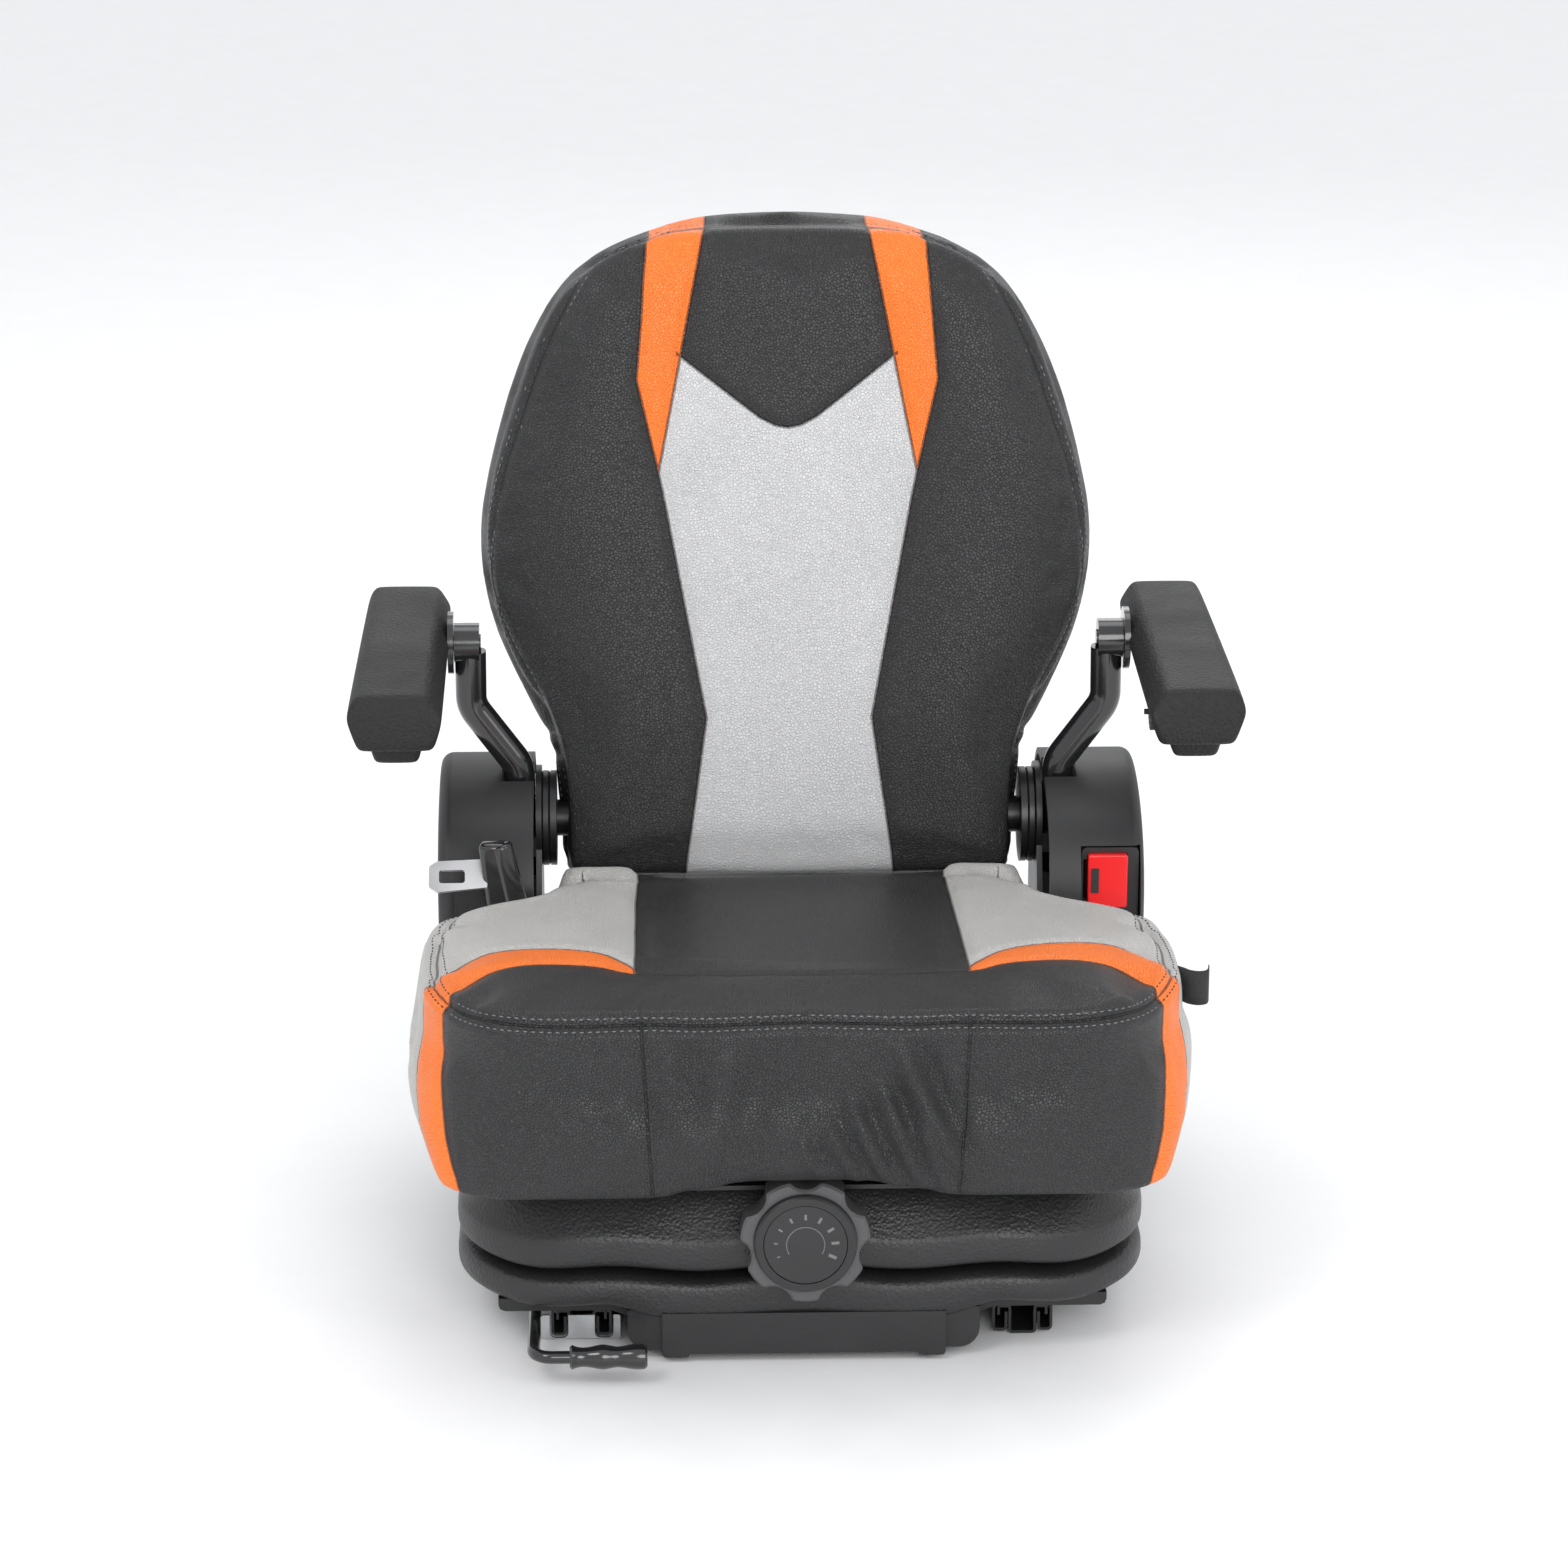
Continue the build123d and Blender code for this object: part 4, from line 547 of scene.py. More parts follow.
points = readPoints(backMesh)
normals = readNormals(backMesh)
across, up = np.abs(points[:, 0]), points[:, 1]
facing = rampUp(normals[:, 2], *backLooks["faceRamp"])
plan = np.stack([across, up], axis=1)
sideGap = signedLine(plan, sideLine, across > np.interp(up, sideLine[:, 1], sideLine[:, 0]))
stripeGap = signedLine(plan, stripeLine, across > np.interp(up, stripeLine[:, 1], stripeLine[:, 0]))
headGap = signedLine(plan, headLine, up > np.interp(across, headLine[:, 0], headLine[:, 1]))
edgeSmooth = smoothPath(edgeHalf, 0.004)
edgeLoop = np.vstack([edgeSmooth, edgeSmooth[::-1] * (-1, 1)])
onEdge = signedLine(plan, edgeSmooth, ~insidePath(points[:, :2], edgeLoop))
onEdge = np.where(normals[:, 2] < -0.3, 0.05, onEdge)

width = backLooks["grooveWidth"]
sunk = np.maximum(groove(sideGap, width), groove(stripeGap, width))
sunk = np.maximum(sunk, groove(headGap, width) * (sideGap < 0.001)) * facing * backLooks["grooveDepth"]
puffs = sum(groove(onEdge - offset, backLooks["puffWidth"])
            for offset in (backLooks["puffOffset"], -backLooks["puffOffset"]))
edging = groove(onEdge, width) * backLooks["edgeGrooveDepth"] - puffs * backLooks["puffDepth"]
sunk += edging * rampUp(normals[:, 2], *backLooks["rimRamp"])
bolster = np.clip(sideGap / backLooks["bolsterWidth"], 0, 1)
crown = backLooks["crown"] * np.sin(np.pi * bolster) * facing * rampUp(up, *backLooks["crownRamp"])
inner = np.clip(across / backLooks["middleHalf"], 0, 1)
crown += backLooks["middleCrown"] * np.cos(inner * np.pi / 2) * facing * (sideGap < 0)
points += normals * (crown - sunk)[:, None]
headGap = np.where(sideGap > 0.004, 0.1, headGap)
# the foot keeps its full depth, just inside the sweep of the hinge
foot = rampUp(-points[:, 1], *backLooks["footRamp"]) * (points[:, 2] > backLooks["heldBehind"])
points[:, 1] -= backLooks["footDrop"] * foot
hinge = backMatrix.inverted() @ Vector(hingeLine)
reach = np.hypot(points[:, 1] - hinge.y, points[:, 2] - hinge.z)
tooFar = (reach > backLooks["sweep"]) & (points[:, 1] < hinge.y) & (points[:, 2] > hinge.z)
pull = np.where(tooFar, backLooks["sweep"] / reach, 1.0)
points[:, 1] = hinge.y + (points[:, 1] - hinge.y) * pull
points[:, 2] = hinge.z + (points[:, 2] - hinge.z) * pull
writePoints(backMesh, points)
for name, values in (("sidePanel", sideGap), ("stripeEdge", stripeGap), ("headPanel", headGap),
                     ("edgeSeam", onEdge)):
    storeValue(backMesh, name, values)

backTree = treeOf(backMesh)
stitches = bmesh.new()
for offset in (-backLooks["stitchOffset"], backLooks["stitchOffset"]):
    for side in (-1, 1):
        flat = [(side * x, y, 0.0) for x, y in smoothPath(edgeHalf, 0.003)]
        places, directions = castPath(backTree, flat, lambda p: (Vector((0, 0, -1)), 0.2))
        sewStitches(stitches, places, directions, offset * side)
backMesh.transform(backMatrix)
bmesh.ops.transform(stitches, matrix=backMatrix, verts=stitches.verts)
backCushion = addPiece("backCushion", backMesh, backLeather, "back", ["backrest_cushion"])
# the back's stitches get the grey thread: painted highlight on dark thread
addPiece("backStitches", toMesh("backStitches", stitches), finish["threadHighlightGrey"], "back")
print("back cushion", len(backMesh.vertices))

# the seat cushion
cushionLooks = {
    "voxel": 0.0062, "smoothings": 6, "shrink": 0.0015, "pressure": 4.0, "frames": 20, "cap": 0.006,
    "heldBelow": 0.1345, "heldBehind": 0.105, "grooveDepth": 0.0018, "grooveWidth": 0.0045,
    "panelGroove": 0.0032, "seamDepth": 0.0026, "seamWidth": 0.0042, "puffDepth": 0.0013, "puffOffset": 0.0075,
    "puffWidth": 0.0045, "waves": 0.0022, "rearLift": 0.007, "rearAbove": 0.19, "sweep": 0.0613,
    "stitchOffset": 0.0042, "cornerAt": -0.196, "sewnTo": 0.06,
    # from where to where each effect fades in, by place or by normal
    "forwardRamp": (0.04, 0.13), "outwardRamp": (0.14, 0.21), "topRamp": (0.2, 0.7), "rimRamp": (-0.3, 0.2),
    "waveRamp": (0.004, 0.03), "rearRamp": (0.06, 0.112),
}
# plan lines, right half: across and depth
stripeFrontLine = smoothPath([
    (0.0, -0.168), (0.06, -0.1675), (0.11, -0.163), (0.134, -0.147), (0.158, -0.14), (0.183, -0.14),
    (0.204, -0.15), (0.222, -0.171), (0.233, -0.19), (0.2372, -0.204), (0.2385, -0.22), (0.239, -0.27)], 0.004)
stripeRearLine = smoothPath([
    (0.1095, -0.158), (0.114, -0.146), (0.133, -0.119), (0.158, -0.105), (0.187, -0.102), (0.212, -0.109),
    (0.231, -0.128), (0.243, -0.146), (0.253, -0.156), (0.262, -0.162), (0.28, -0.165), (0.33, -0.166)], 0.004)
# the top seam: across the front, round the corner and along the side to the back
topSeamHalf = [
    (-0.006, -0.2395, 0.2545), (0.0, -0.2395, 0.2545), (0.036, -0.2395, 0.253), (0.07, -0.2395, 0.2518),
    (0.105, -0.2395, 0.2532), (0.15, -0.2395, 0.252), (0.185, -0.2385, 0.2528), (0.206, -0.232, 0.253),
    (0.2225, -0.217, 0.252), (0.2335, -0.199, 0.252), (0.2395, -0.178, 0.252), (0.244, -0.148, 0.251),
    (0.2465, -0.105, 0.25), (0.244, -0.064, 0.248), (0.233, -0.022, 0.246), (0.207, 0.008, 0.244),
    (0.182, 0.029, 0.244), (0.169, 0.064, 0.243), (0.158, 0.11, 0.243)]
# how far out each height of the side reaches, so that the plan lines run on down it
sideSlope = np.array([(0.127, 0.244), (0.138, 0.2493), (0.15, 0.2536), (0.169, 0.2587), (0.211, 0.2634),
                      (0.236, 0.265), (0.252, 0.262), (0.3, 0.262)])
# how much the sides stand out at each height, toward the front
fullness = np.array([(0.12, 0.013), (0.135, 0.0145), (0.15, 0.0135), (0.165, 0.0125), (0.2, 0.0048),
                     (0.22, 0.0008), (0.245, 0.0)])
# how far back the grey of each side starts, at each height
sideLean = np.array([(0.13, 0.044), (0.16, 0.03), (0.19, 0.01), (0.22, 0.0), (0.3, 0.0)])


def towardCore(p):
    # from just outside the cushion to the middle of its foam
    core = Vector((p[0] * 0.6, min(max(p[1], -0.13), 0.0), 0.19))
    return (core - Vector(p)).normalized(), 0.03


# a wedge in each corner of the notch over the knob makes it an arch
wedgeLooks = {"inner": 0.034, "outer": 0.1015, "top": 0.143, "innerLow": 0.1395, "outerLow": 0.1275,
              "front": -0.2455, "rear": -0.2035}
bm = copyNode("seat_cushion")
for side in (-1, 1):
    wedge = bmesh.ops.create_cube(bm, size=1.0)["verts"]
    for v in wedge:
        end = "outer" if v.co.x * side > 0 else "inner"
        v.co = (side * wedgeLooks[end], wedgeLooks["rear" if v.co.y > 0 else "front"],
                wedgeLooks["top" if v.co.z > 0 else end + "Low"])
    if side < 0:
        bmesh.ops.reverse_faces(bm, faces=list({f for v in wedge for f in v.link_faces}))
cushionMesh = padForm("cushionForm", bm, cushionLooks, lambda p: (
    p[:, 2] < cushionLooks["heldBelow"]) | (p[:, 1] > cushionLooks["heldBehind"]))
points = readPoints(cushionMesh)
full = np.interp(points[:, 2], fullness[:, 0], fullness[:, 1])
full *= rampUp(-points[:, 1], *cushionLooks["forwardRamp"])
points[:, 0] += np.sign(points[:, 0]) * full * rampUp(np.abs(points[:, 0]), *cushionLooks["outwardRamp"])
writePoints(cushionMesh, points)
normals = readNormals(cushionMesh)
across = np.abs(points[:, 0])
spread = across * sideSlope[-1, 1] / np.interp(points[:, 2], sideSlope[:, 0], sideSlope[:, 1])
plan = np.stack([spread, points[:, 1]], axis=1)
isBehind = points[:, 1] > np.interp(spread, stripeFrontLine[:, 0], stripeFrontLine[:, 1])
frontGap = signedLine(plan, stripeFrontLine, isBehind)
leaned = points[:, 1] + np.interp(points[:, 2], sideLean[:, 0], sideLean[:, 1])
isBehind = leaned > np.interp(spread, stripeRearLine[:, 0], stripeRearLine[:, 1])
rearGap = signedLine(np.stack([spread, leaned], axis=1), stripeRearLine, isBehind)
# inside the stripe's inner end the two lines are one
innerGap = np.where(frontGap > 0, np.maximum(np.abs(rearGap), 0.001), frontGap)
rearGap = np.where(spread < 0.11, innerGap, rearGap)
centreGap = across - np.interp(points[:, 1], (-0.17, 0.12), (0.1105, 0.1065))
onTop = (points[:, 1] > -0.16) & (normals[:, 2] > 0.2)
centreLine = np.where(onTop, centreGap, np.where(centreGap > 0, 0.05, -0.05))

cushionTree = treeOf(cushionMesh)
seamPlaces, seamNormals = castPath(cushionTree, smoothPath(topSeamHalf, 0.004), towardCore)
topReach, topSide = pathGap(np.column_stack([across, points[:, 1:]]), seamPlaces, seamNormals)
seamLevel = np.interp(across, [p[0] for p in topSeamHalf[:10]], [p[2] for p in topSeamHalf[:10]])
onFront = (normals[:, 1] < -0.5) & (points[:, 1] < -0.2)
panelX = np.interp(points[:, 2], (0.13, 0.25), (0.0993, 0.1065))
isPanel = onFront & (points[:, 2] < seamLevel)
frontSeamGap = np.where(isPanel, across - panelX, np.where(across > panelX, 0.05, -0.05))

upward = rampUp(normals[:, 2], *cushionLooks["topRamp"])
outside = rampUp(normals[:, 2], *cushionLooks["rimRamp"])
width = cushionLooks["grooveWidth"]
sunk = np.maximum(groove(frontGap, width), groove(rearGap, width) * (spread > 0.108)) * outside
sunk = np.maximum(sunk, groove(centreLine, width))
sunk = np.maximum(sunk, groove(frontSeamGap, cushionLooks["panelGroove"]) * 0.8) * cushionLooks["grooveDepth"]
sunk += groove(topReach, cushionLooks["seamWidth"]) * cushionLooks["seamDepth"]
sunk -= groove(topReach - cushionLooks["puffOffset"], cushionLooks["puffWidth"]) * cushionLooks["puffDepth"]

# puckers low on the front panel: each is a line of across and height, with its width and depth
puckers = [((0.062, 0.232), (0.094, 0.16), 0.0075, 0.0066), ((0.05, 0.205), (0.074, 0.146), 0.0055, 0.0056),
           ((0.03, 0.196), (0.053, 0.146), 0.0055, 0.005), ((0.014, 0.184), (0.034, 0.146), 0.005, 0.0044),
           ((0.074, 0.18), (0.09, 0.142), 0.0048, 0.0046), ((-0.004, 0.172), (0.012, 0.148), 0.005, 0.003),
           ((-0.048, 0.236), (-0.068, 0.16), 0.015, 0.0046), ((-0.092, 0.236), (-0.08, 0.176), 0.009, 0.0028)]
front = np.stack([points[:, 0], points[:, 2]], axis=1)
for low, high, width, depth in puckers:
    a, b = np.array(low), np.array(high)
    d = b - a
    t = ((front - a) @ d) / (d @ d)
    beside = ((front - a) @ np.array((-d[1], d[0]))) / np.linalg.norm(d)
    fade = groove(np.clip(np.abs(t - 0.5) - 0.32, 0, None), 0.22)
    sunk -= depth * (groove(beside, width) - 0.75 * groove(beside - 1.5 * width, width)) * fade * onFront
soft = cushionLooks["waves"] * np.sin(points[:, 0] * 21 + 0.7) * np.sin(points[:, 1] * 17 + 1.1)
sunk -= soft * upward * rampUp(np.abs(frontGap), *cushionLooks["waveRamp"])
points -= normals * sunk[:, None]
rear = rampUp(points[:, 1], *cushionLooks["rearRamp"]) * (points[:, 2] > cushionLooks["rearAbove"])
points[:, 1:] += (cushionLooks["rearLift"] * rear)[:, None]
reach = np.hypot(points[:, 1] - hingeLine[1], points[:, 2] - hingeLine[2])
push = np.where(reach < cushionLooks["sweep"], cushionLooks["sweep"] / np.maximum(reach, 1e-6), 1.0)
points[:, 1] = hingeLine[1] + (points[:, 1] - hingeLine[1]) * push
points[:, 2] = hingeLine[2] + (points[:, 2] - hingeLine[2]) * push
writePoints(cushionMesh, points)
for name, values in (
        ("stripeFront", frontGap), ("stripeRear", rearGap), ("centrePanel", centreGap),
        ("centreReach", np.clip(-0.155 - points[:, 1], 0.0, 0.1)), ("topSeam", topSide * topReach),
        ("topReach", topReach), ("frontSeam", frontSeamGap)):
    storeValue(cushionMesh, name, values)

cushionTree = treeOf(cushionMesh)
# the top seam's stitches before the corner get the grey thread, a painted highlight on the dark thread; those
# along the side keep the black thread
frontStitches, sideStitches = bmesh.new(), bmesh.new()
for side in (-1, 1):
    places, directions = castPath(cushionTree, seamPlaces[seamPlaces[:, 0] > 0] * (side, 1, 1), towardCore)
    for _ in range(3):
        for values in (places, directions):
            values[1:-1] = (values[:-2] + 2 * values[1:-1] + values[2:]) / 4
    sewnTo = int(np.argmax(places[:, 1] > cushionLooks["sewnTo"])) or len(places)
    places, directions = places[:sewnTo], directions[:sewnTo]
    besides = np.cross(directions, np.gradient(places, axis=0))
    besides /= np.linalg.norm(besides, axis=1)[:, None]
    corner = int(np.argmax(places[:, 1] > cushionLooks["cornerAt"]))
    for offset in (-cushionLooks["stitchOffset"], cushionLooks["stitchOffset"]):
        shifted, turned = castPath(cushionTree, places + besides * offset, towardCore)
        sewStitches(frontStitches, shifted[:corner], turned[:corner])
        sewStitches(sideStitches, shifted[corner:], turned[corner:])
cushion = addPiece("seatCushion", cushionMesh, cushionLeather, "seat", ["seat_cushion"])
addPiece("frontStitches", toMesh("frontStitches", frontStitches), finish["threadHighlightGrey"], "seat")
addPiece("sideStitches", toMesh("sideStitches", sideStitches), finish["threadBlack"], "seat")
print("seat cushion", len(cushionMesh.vertices))

# armrest pads: a six-sided section drawn out and rounded, on a narrower base
padLooks = {"length": 0.285, "front": -0.055, "middle": 0.27, "rearWidth": 0.93, "round": 0.0065,
            "base": 0.3635, "baseInset": 0.0012, "baseGroove": 0.0012, "baseTaper": 0.86, "baseLength": 0.97,
            "baseRound": 0.0055}
# across, height and set-back of the nose at each corner of the section
padSection = [(0.297, 0.415, 0.0115), (0.303, 0.401, 0.0), (0.2955, 0.375, 0.006), (0.243, 0.375, 0.006),
              (0.2365, 0.399, 0.0), (0.247, 0.415, 0.0115)]
for side in (-1, 1):
    bm = bmesh.new()
    nose = bmesh.ops.create_circle(bm, segments=len(padSection), radius=1.0, cap_ends=True)["verts"]
    for v, (across, height, setBack) in zip(nose, padSection):
        v.co = (side * across, padLooks["front"] + setBack, height)
    grown = bmesh.ops.extrude_face_region(bm, geom=bm.faces[:])["geom"]
    rear = onlyVerts(grown)
    for v in rear:
        v.co.y = padLooks["front"] + padLooks["length"]
    bmesh.ops.scale(bm, vec=(padLooks["rearWidth"], 1, 1), verts=rear,
                    space=Matrix.Translation((-side * padLooks["middle"], 0, 0)))
    bmesh.ops.recalc_face_normals(bm, faces=bm.faces)
    roundEdges(bm, bm.edges[:], padLooks["round"])
    bottom = [max((f for f in bm.faces if f.normal.z < -0.9), key=lambda f: f.calc_area())]
    bmesh.ops.inset_region(bm, faces=bottom, thickness=padLooks["baseInset"], depth=0)
    bmesh.ops.inset_region(bm, faces=bottom, thickness=padLooks["baseGroove"], depth=-padLooks["baseGroove"])
    low = padLooks["base"] - bottom[0].calc_center_median().z
    grown = bmesh.ops.extrude_face_region(bm, geom=bottom)["geom"]
    bmesh.ops.delete(bm, geom=bottom, context="FACES_ONLY")
    moved = onlyVerts(grown)
    bmesh.ops.translate(bm, vec=(0, 0, low), verts=moved)
    centre = Matrix.Translation((-side * padLooks["middle"], -padLooks["front"] - padLooks["length"] / 2, 0))
    bmesh.ops.scale(bm, vec=(padLooks["baseTaper"], padLooks["baseLength"], 1), verts=moved, space=centre)
    roundEdges(bm, list({e for v in moved for e in v.link_edges}), padLooks["baseRound"])
    bmesh.ops.recalc_face_normals(bm, faces=bm.faces)
    hand = "left" if side < 0 else "right"
    name = "armrest" + hand.capitalize()
    piece = addPiece(name, toMesh(name, bm), finish["armrestSkin"], "armrest_" + hand,
                     ["armrest_pad_" + hand])
    subdivide(piece, 2)
print("armrests made")

# the belt's tongue lies tilted against its grip, with the strap's sleeve leaning beside it
tongueLooks = {"tilt": 46, "neck": -0.224, "root": -0.2125, "flare": 1.3, "y": 0.052, "cadHeight": 0.2512,
               "z": 0.253, "gripX": (-0.2185, -0.1985), "gripY": (0.0475, 0.0615), "gripZ": (0.23, 0.278),
               "gripLean": 0.005, "gripRound": 0.004, "sleeveRadius": 0.0088, "sleeveTaper": 0.93,
               "sleeveRound": 0.0022, "sleeveTop": (-0.2035, 0.0545, 0.2765),
               "sleeveBottom": (-0.1925, 0.0545, 0.2285)}
bm = copyNode("belt_tongue")
for v in bm.verts:
    if v.co.x > tongueLooks["neck"]:
        v.co = (tongueLooks["root"], tongueLooks["y"] + (v.co.y - tongueLooks["y"]) * tongueLooks["flare"], v.co.z)
bmesh.ops.rotate(bm, verts=bm.verts, cent=(0, tongueLooks["y"], tongueLooks["cadHeight"]),
                 matrix=Matrix.Rotation(math.radians(tongueLooks["tilt"]), 3, "X"))
bmesh.ops.translate(bm, vec=(0, 0, tongueLooks["z"] - tongueLooks["cadHeight"]), verts=bm.verts)
addPiece("beltTongue", toMesh("beltTongue", bm, False), finish["tonguePlate"], "seat", ["belt_tongue"])
bm = bmesh.new()
for v in bmesh.ops.create_cube(bm, size=1.0)["verts"]:
    x, y, z = (tongueLooks[key][value > 0] for key, value in zip(("gripX", "gripY", "gripZ"), v.co))
    v.co = (x + (0.0 if v.co.z > 0 else tongueLooks["gripLean"]), y, z)
roundEdges(bm, bm.edges[:], tongueLooks["gripRound"], 4)
top, bottom = Vector(tongueLooks["sleeveTop"]), Vector(tongueLooks["sleeveBottom"])
lean = (top - bottom).to_track_quat("Z", "Y").to_matrix().to_4x4()
sleeve = bmesh.ops.create_cone(
    bm, segments=32, radius1=tongueLooks["sleeveRadius"],
    radius2=tongueLooks["sleeveRadius"] * tongueLooks["sleeveTaper"], depth=(top - bottom).length, cap_ends=True,
    matrix=Matrix.Translation((top + bottom) / 2) @ lean)["verts"]
rims = [e for e in {e for v in sleeve for e in v.link_edges} if len(e.link_faces) == 2 and e.calc_face_angle() > 1]
roundEdges(bm, rims, tongueLooks["sleeveRound"])
addPiece("tongueSleeve", toMesh("tongueSleeve", bm), finish["tubePaint"], "seat",
         ["tongue_sleeve"])

# the button's slot: a thin black plate on its face, painted shade standing in for the slot's recess
slotShadeLooks = {"x": (0.2102, 0.2156), "z": (0.2295, 0.2475), "depth": 0.0012}
face, _, _, _ = treeOf(nodes["buckle_button"].data).ray_cast(
    Vector((sum(slotShadeLooks["x"]) / 2, -0.2, sum(slotShadeLooks["z"]) / 2)), Vector((0, 1, 0)))
bm = bmesh.new()
for v in bmesh.ops.create_cube(bm, size=1.0)["verts"]:
    v.co = (slotShadeLooks["x"][v.co.x > 0], face.y + slotShadeLooks["depth"] * (v.co.y - 0.25), slotShadeLooks["z"][v.co.z > 0])
addPiece("buttonSlotShade", toMesh("buttonSlotShade", bm, False), finish["mouldedPlastic"], "buckle_button")
print("belt tongue made")

# dial marks: wedges that widen round the top of the knob's dial, and an arc of dashes inside them
dialLooks = {"face": -0.2356, "height": 0.0955, "start": 205, "sweep": 230, "thickness": 0.0003, "marks": 9,
             "markRadius": 0.0195, "dashes": 26, "dashRadius": 0.0125}


def addMark(bm, share, radius, wide, high):
    angle = math.radians(dialLooks["start"] - dialLooks["sweep"] * share)
    place = Matrix.Translation((math.cos(angle) * radius, dialLooks["face"],
                                dialLooks["height"] + math.sin(angle) * radius))
    size = Matrix.Diagonal((wide, dialLooks["thickness"], high, 1))
    bmesh.ops.create_cube(bm, size=1.0, matrix=place @ Matrix.Rotation(-angle, 4, "Y") @ size)


bm = bmesh.new()
for number in range(dialLooks["marks"]):
    share = number / (dialLooks["marks"] - 1)
    addMark(bm, share, dialLooks["markRadius"], 0.0022 + 0.0034 * share, 0.0009 + 0.0013 * share)
for number in range(dialLooks["dashes"]):
    addMark(bm, number / (dialLooks["dashes"] - 1), dialLooks["dashRadius"], 0.0007, 0.0024)
addPiece("dialMarks", toMesh("dialMarks", bm, False), finish["dialPrint"], "weight_adjuster")

# tension springs: a coil on each side, with an eye on the front shaft and a straight end to the bar
springLooks = {"x": 0.045, "z": 0.106, "coilFront": -0.1165, "coilRear": 0.004, "turns": 27, "steps": 14,
               "coilRadius": 0.0085, "wire": 0.0015, "shaft": -0.126, "eye": 0.0058, "end": 0.0777,
               "overlap": 0.002}


def spinWire(bm, place, turn, **spin):
    wire = bmesh.ops.create_circle(bm, segments=7, radius=springLooks["wire"],
                                   matrix=Matrix.Translation(place) @ turn)["verts"]
    bmesh.ops.spin(bm, geom=wire + list({e for v in wire for e in v.link_edges}), **spin)


bm = bmesh.new()
for side in (-1, 1):
    middle = Vector((side * springLooks["x"], springLooks["coilFront"], springLooks["z"]))
    steps = springLooks["turns"] * springLooks["steps"]
    rise = (springLooks["coilRear"] - springLooks["coilFront"]) / steps
    spinWire(bm, middle + Vector((springLooks["coilRadius"], 0, 0)), Matrix.Identity(4), cent=middle,
             axis=(0, 1, 0), dvec=(0, rise, 0), angle=math.tau * springLooks["turns"], steps=steps)
    shaft = Vector((side * springLooks["x"], springLooks["shaft"], springLooks["z"]))
    spinWire(bm, shaft + Vector((0, springLooks["eye"], 0)), Matrix.Rotation(math.pi / 2, 4, "Y"), cent=shaft,
             axis=(1, 0, 0), angle=math.tau, steps=24, use_merge=True)
    length = springLooks["end"] - springLooks["coilRear"] + springLooks["overlap"]
    place = Vector((side * springLooks["x"], springLooks["end"] - length / 2, springLooks["z"]))
    bmesh.ops.create_cone(bm, segments=8, radius1=springLooks["wire"], radius2=springLooks["wire"], depth=length,
                          cap_ends=True, matrix=Matrix.Translation(place) @ Matrix.Rotation(math.pi / 2, 4, "X"))
bmesh.ops.recalc_face_normals(bm, faces=bm.faces)
addPiece("suspensionSprings", toMesh("suspensionSprings", bm), finish["blackPaint"], "seat",
         ["suspension_springs"])

# the bare tag, a folded strip sewn into the cushion's right seam
tagLooks = {"y": -0.12, "low": 0.221, "high": 0.245, "sheet": 0.0008}
middle = Vector((0.5, tagLooks["y"], (tagLooks["low"] + tagLooks["high"]) / 2))
place, _, _, _ = cushionTree.ray_cast(middle, Vector((-1, 0, 0)))
tagPath = smoothPath([(-0.004, 0.002), (0.001, -0.003), (0.005, -0.008), (0.011, -0.0105), (0.016, -0.0085),
                      (0.018, -0.003), (0.0185, 0.002)], 0.0015)
bm = bmesh.new()
bmesh.ops.create_grid(bm, x_segments=len(tagPath) - 1, y_segments=3, size=0.5)
for v in bm.verts:
    step = tagPath[int(round((v.co.x + 0.5) * (len(tagPath) - 1)))]
    height = tagLooks["low"] + (v.co.y + 0.5) * (tagLooks["high"] - tagLooks["low"])
    v.co = (place.x + step[0], place.y + step[1], height)
tag = addPiece("cushionTag", toMesh("cushionTag", bm), finish["webbing"], "seat", ["cushion_tag"])
folded = tag.modifiers.new("folded", "SOLIDIFY")
folded.thickness = tagLooks["sheet"]
folded.offset = 0.0
print("dial, springs and tag made")

# the bellows: rings drawn out from a rounded rectangle
bellowsLooks = {"halfX": 0.2055, "halfY": 0.1815, "corner": 0.062, "wall": 0.003, "cuts": 30,
                "cornerSteps": 14, "skirt": 0.0075, "skirtTop": 0.046, "skirtHalf": 0.128, "skirtRamp": 0.03,
                "wave": 0.0022, "waveX": 0.13, "waveLength": 0.062, "waveTop": 0.092}
# outward and height of each ring, from the flange under the seat pan to the tray
bellowsRings = [(-0.014, 0.1163), (-0.002, 0.1163), (0.0005, 0.1145), (0.01, 0.1035), (0.0195, 0.091),
                (0.0218, 0.088), (0.023, 0.0862), (0.0236, 0.084), (0.024, 0.078), (0.0238, 0.0715),
                (0.0232, 0.0692), (0.0216, 0.0675), (0.018, 0.0662), (0.01, 0.064), (0.002, 0.0614),
                (0.0006, 0.06), (0.002, 0.0586), (0.01, 0.0578), (0.019, 0.0566), (0.0218, 0.0556),
                (0.0233, 0.054), (0.024, 0.0512), (0.0242, 0.046), (0.0236, 0.0425), (0.0215, 0.0398),
                (0.015, 0.038), (0.004, 0.0366), (-0.008, 0.0366)]
bm = bmesh.new()
bmesh.ops.create_grid(bm, x_segments=1, y_segments=1, size=1.0)
bmesh.ops.scale(bm, vec=(bellowsLooks["halfX"], bellowsLooks["halfY"], 1), verts=bm.verts)
bmesh.ops.bevel(bm, geom=bm.verts[:], offset=bellowsLooks["corner"], segments=bellowsLooks["cornerSteps"],
                profile=0.5, affect="VERTICES", material=-1)
bmesh.ops.delete(bm, geom=bm.faces[:], context="FACES_ONLY")
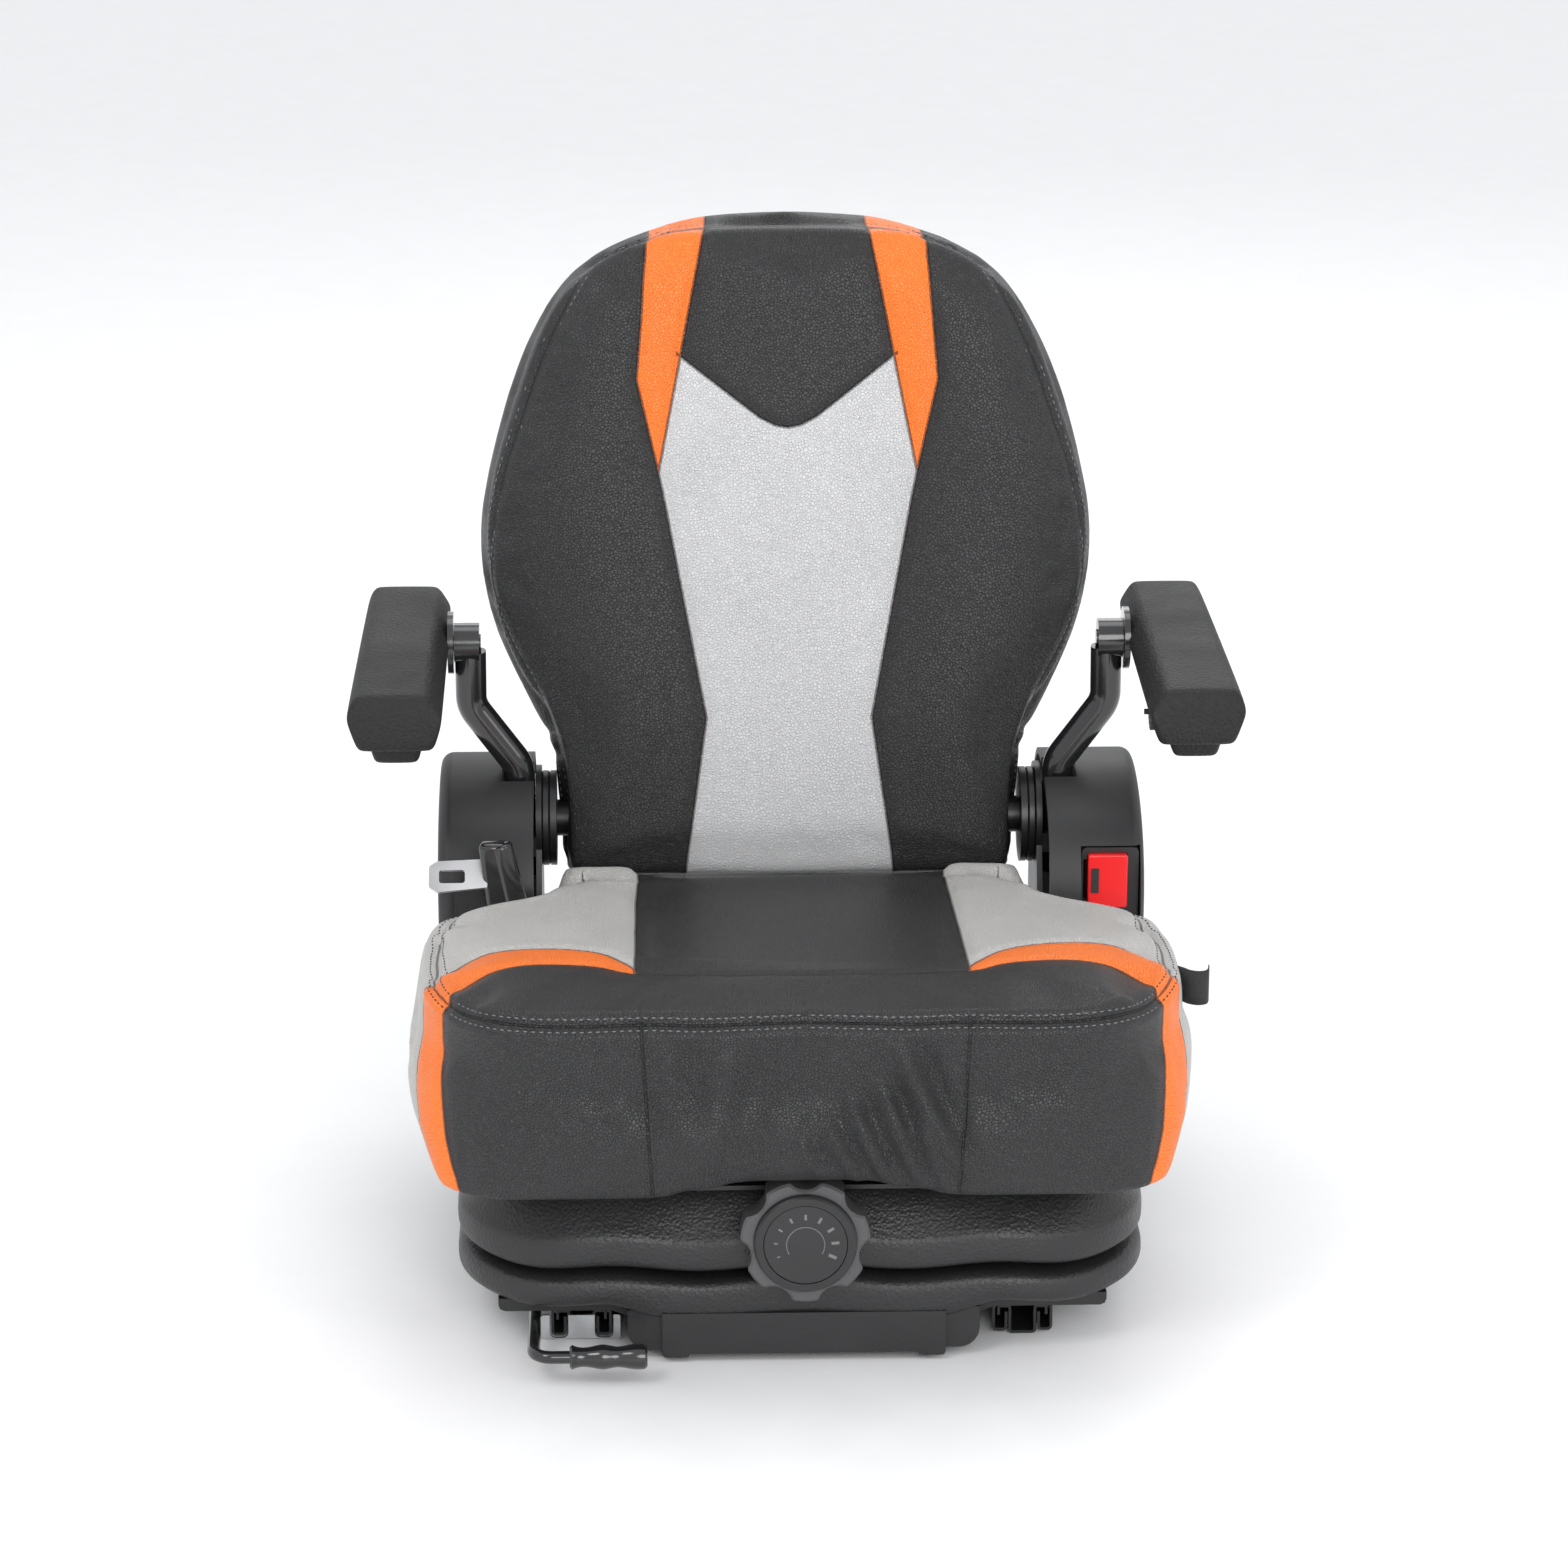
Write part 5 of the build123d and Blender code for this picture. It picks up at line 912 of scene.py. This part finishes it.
bmesh.ops.subdivide_edges(bm, edges=[e for e in bm.edges if e.calc_length() > 0.1], cuts=bellowsLooks["cuts"])
coreX = bellowsLooks["halfX"] - bellowsLooks["corner"]
coreY = bellowsLooks["halfY"] - bellowsLooks["corner"]
ring = bm.edges[:]
for number, (outward, height) in enumerate(bellowsRings):
    if number:
        grown = bmesh.ops.extrude_edge_only(bm, edges=ring)["geom"]
        ring = [g for g in grown if isinstance(g, bmesh.types.BMEdge)]
        corners = onlyVerts(grown)
    else:
        corners = bm.verts[:]
    for v in corners:
        core = Vector((min(max(v.co.x, -coreX), coreX), min(max(v.co.y, -coreY), coreY), 0))
        away = (Vector((v.co.x, v.co.y, 0)) - core).normalized()
        place = core + away * (bellowsLooks["corner"] + outward)
        frontal = max(0.0, -away.y) ** 2
        wave = skirt = 0.0
        if height < bellowsLooks["waveTop"]:
            ripple = (abs(place.x) - bellowsLooks["waveX"]) / bellowsLooks["waveLength"]
            wave = bellowsLooks["wave"] * math.cos(ripple * math.pi) * frontal
        if height < bellowsLooks["skirtTop"]:
            inside = rampUp(bellowsLooks["skirtHalf"] - abs(place.x), 0.0, bellowsLooks["skirtRamp"])
            skirt = bellowsLooks["skirt"] * frontal * float(inside)
        v.co = (place.x, place.y, height + wave - skirt)
bmesh.ops.recalc_face_normals(bm, faces=bm.faces)
rubber = addPiece("bellowsRubber", toMesh("bellowsRubber", bm), finish["bellowsRubber"], "carriage",
                  ["bellows"])
wall = rubber.modifiers.new("wall", "SOLIDIFY")
wall.thickness = bellowsLooks["wall"]
wall.offset = 0.0
subdivide(rubber, 1)
shadeSmooth(bakeModifiers(rubber))
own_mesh(rubber)
print("bellows", len(rubber.data.vertices))

# camera, light and floor
studio = {"distance": 3.6, "elevation": 18.0, "turn": -1.6, "target": (-0.0076, 0.0, 0.336), "lens": 121.2,
          "aim": (0, 0, 0.3), "worldColour": (0.97, 0.98, 1.0, 1), "worldStrength": 0.93, "floorHalf": 14.0,
          "floorDrop": 0.0005}
# place, size and power of each light
studioLights = {"keyLight": ((-1.5, -1.9, 2.6), 1.1, 18), "fillLight": ((2.2, -1.8, 1.6), 1.2, 8),
                "frontLight": ((0.5, -3.3, 1.5), 1.8, 40), "topLight": ((0.1, 0.7, 3.0), 1.6, 11),
                "rearLight": ((0.4, 2.6, 2.0), 1.6, 12)}
bearing, height = math.radians(studio["turn"]), math.radians(studio["elevation"])
backward = Vector((math.sin(bearing) * math.cos(height), -math.cos(bearing) * math.cos(height), math.sin(height)))
camera = bpy.data.objects.new("camera", bpy.data.cameras.new("camera"))
scene.collection.objects.link(camera)
camera.location = Vector(studio["target"]) + backward * studio["distance"]
camera.rotation_euler = backward.to_track_quat("Z", "Y").to_euler()
camera.data.lens = studio["lens"]
camera.data.sensor_width = 36.0
scene.camera = camera
scene.view_settings.view_transform = "Standard"

for name, (place, size, power) in studioLights.items():
    light = bpy.data.lights.new(name, "AREA")
    light.energy = power
    light.shape = "DISK"
    light.size = size
    lamp = bpy.data.objects.new(name, light)
    scene.collection.objects.link(lamp)
    lamp.location = place
    lamp.rotation_euler = (Vector(place) - Vector(studio["aim"])).to_track_quat("Z", "Y").to_euler()

world = bpy.data.worlds.new("studioWorld")
scene.world = world
world.use_nodes = True
background = world.node_tree.nodes["Background"]
background.inputs["Color"].default_value = studio["worldColour"]
background.inputs["Strength"].default_value = studio["worldStrength"]

bm = bmesh.new()
bmesh.ops.create_grid(bm, x_segments=8, y_segments=8, size=studio["floorHalf"])
bmesh.ops.translate(bm, vec=(0, 0, -studio["floorDrop"]), verts=bm.verts)
floor = bpy.data.objects.new("studioFloor", toMesh("studioFloor", bm))
scene.collection.objects.link(floor)
floor.data.materials.append(makePlain("paleFloor", {"colour": (0.92, 0.92, 0.925), "roughness": 0.6, "tint": 0.01,
                                                    "grainScale": 40.0, "grainDepth": 0.0}))
print("studio made")
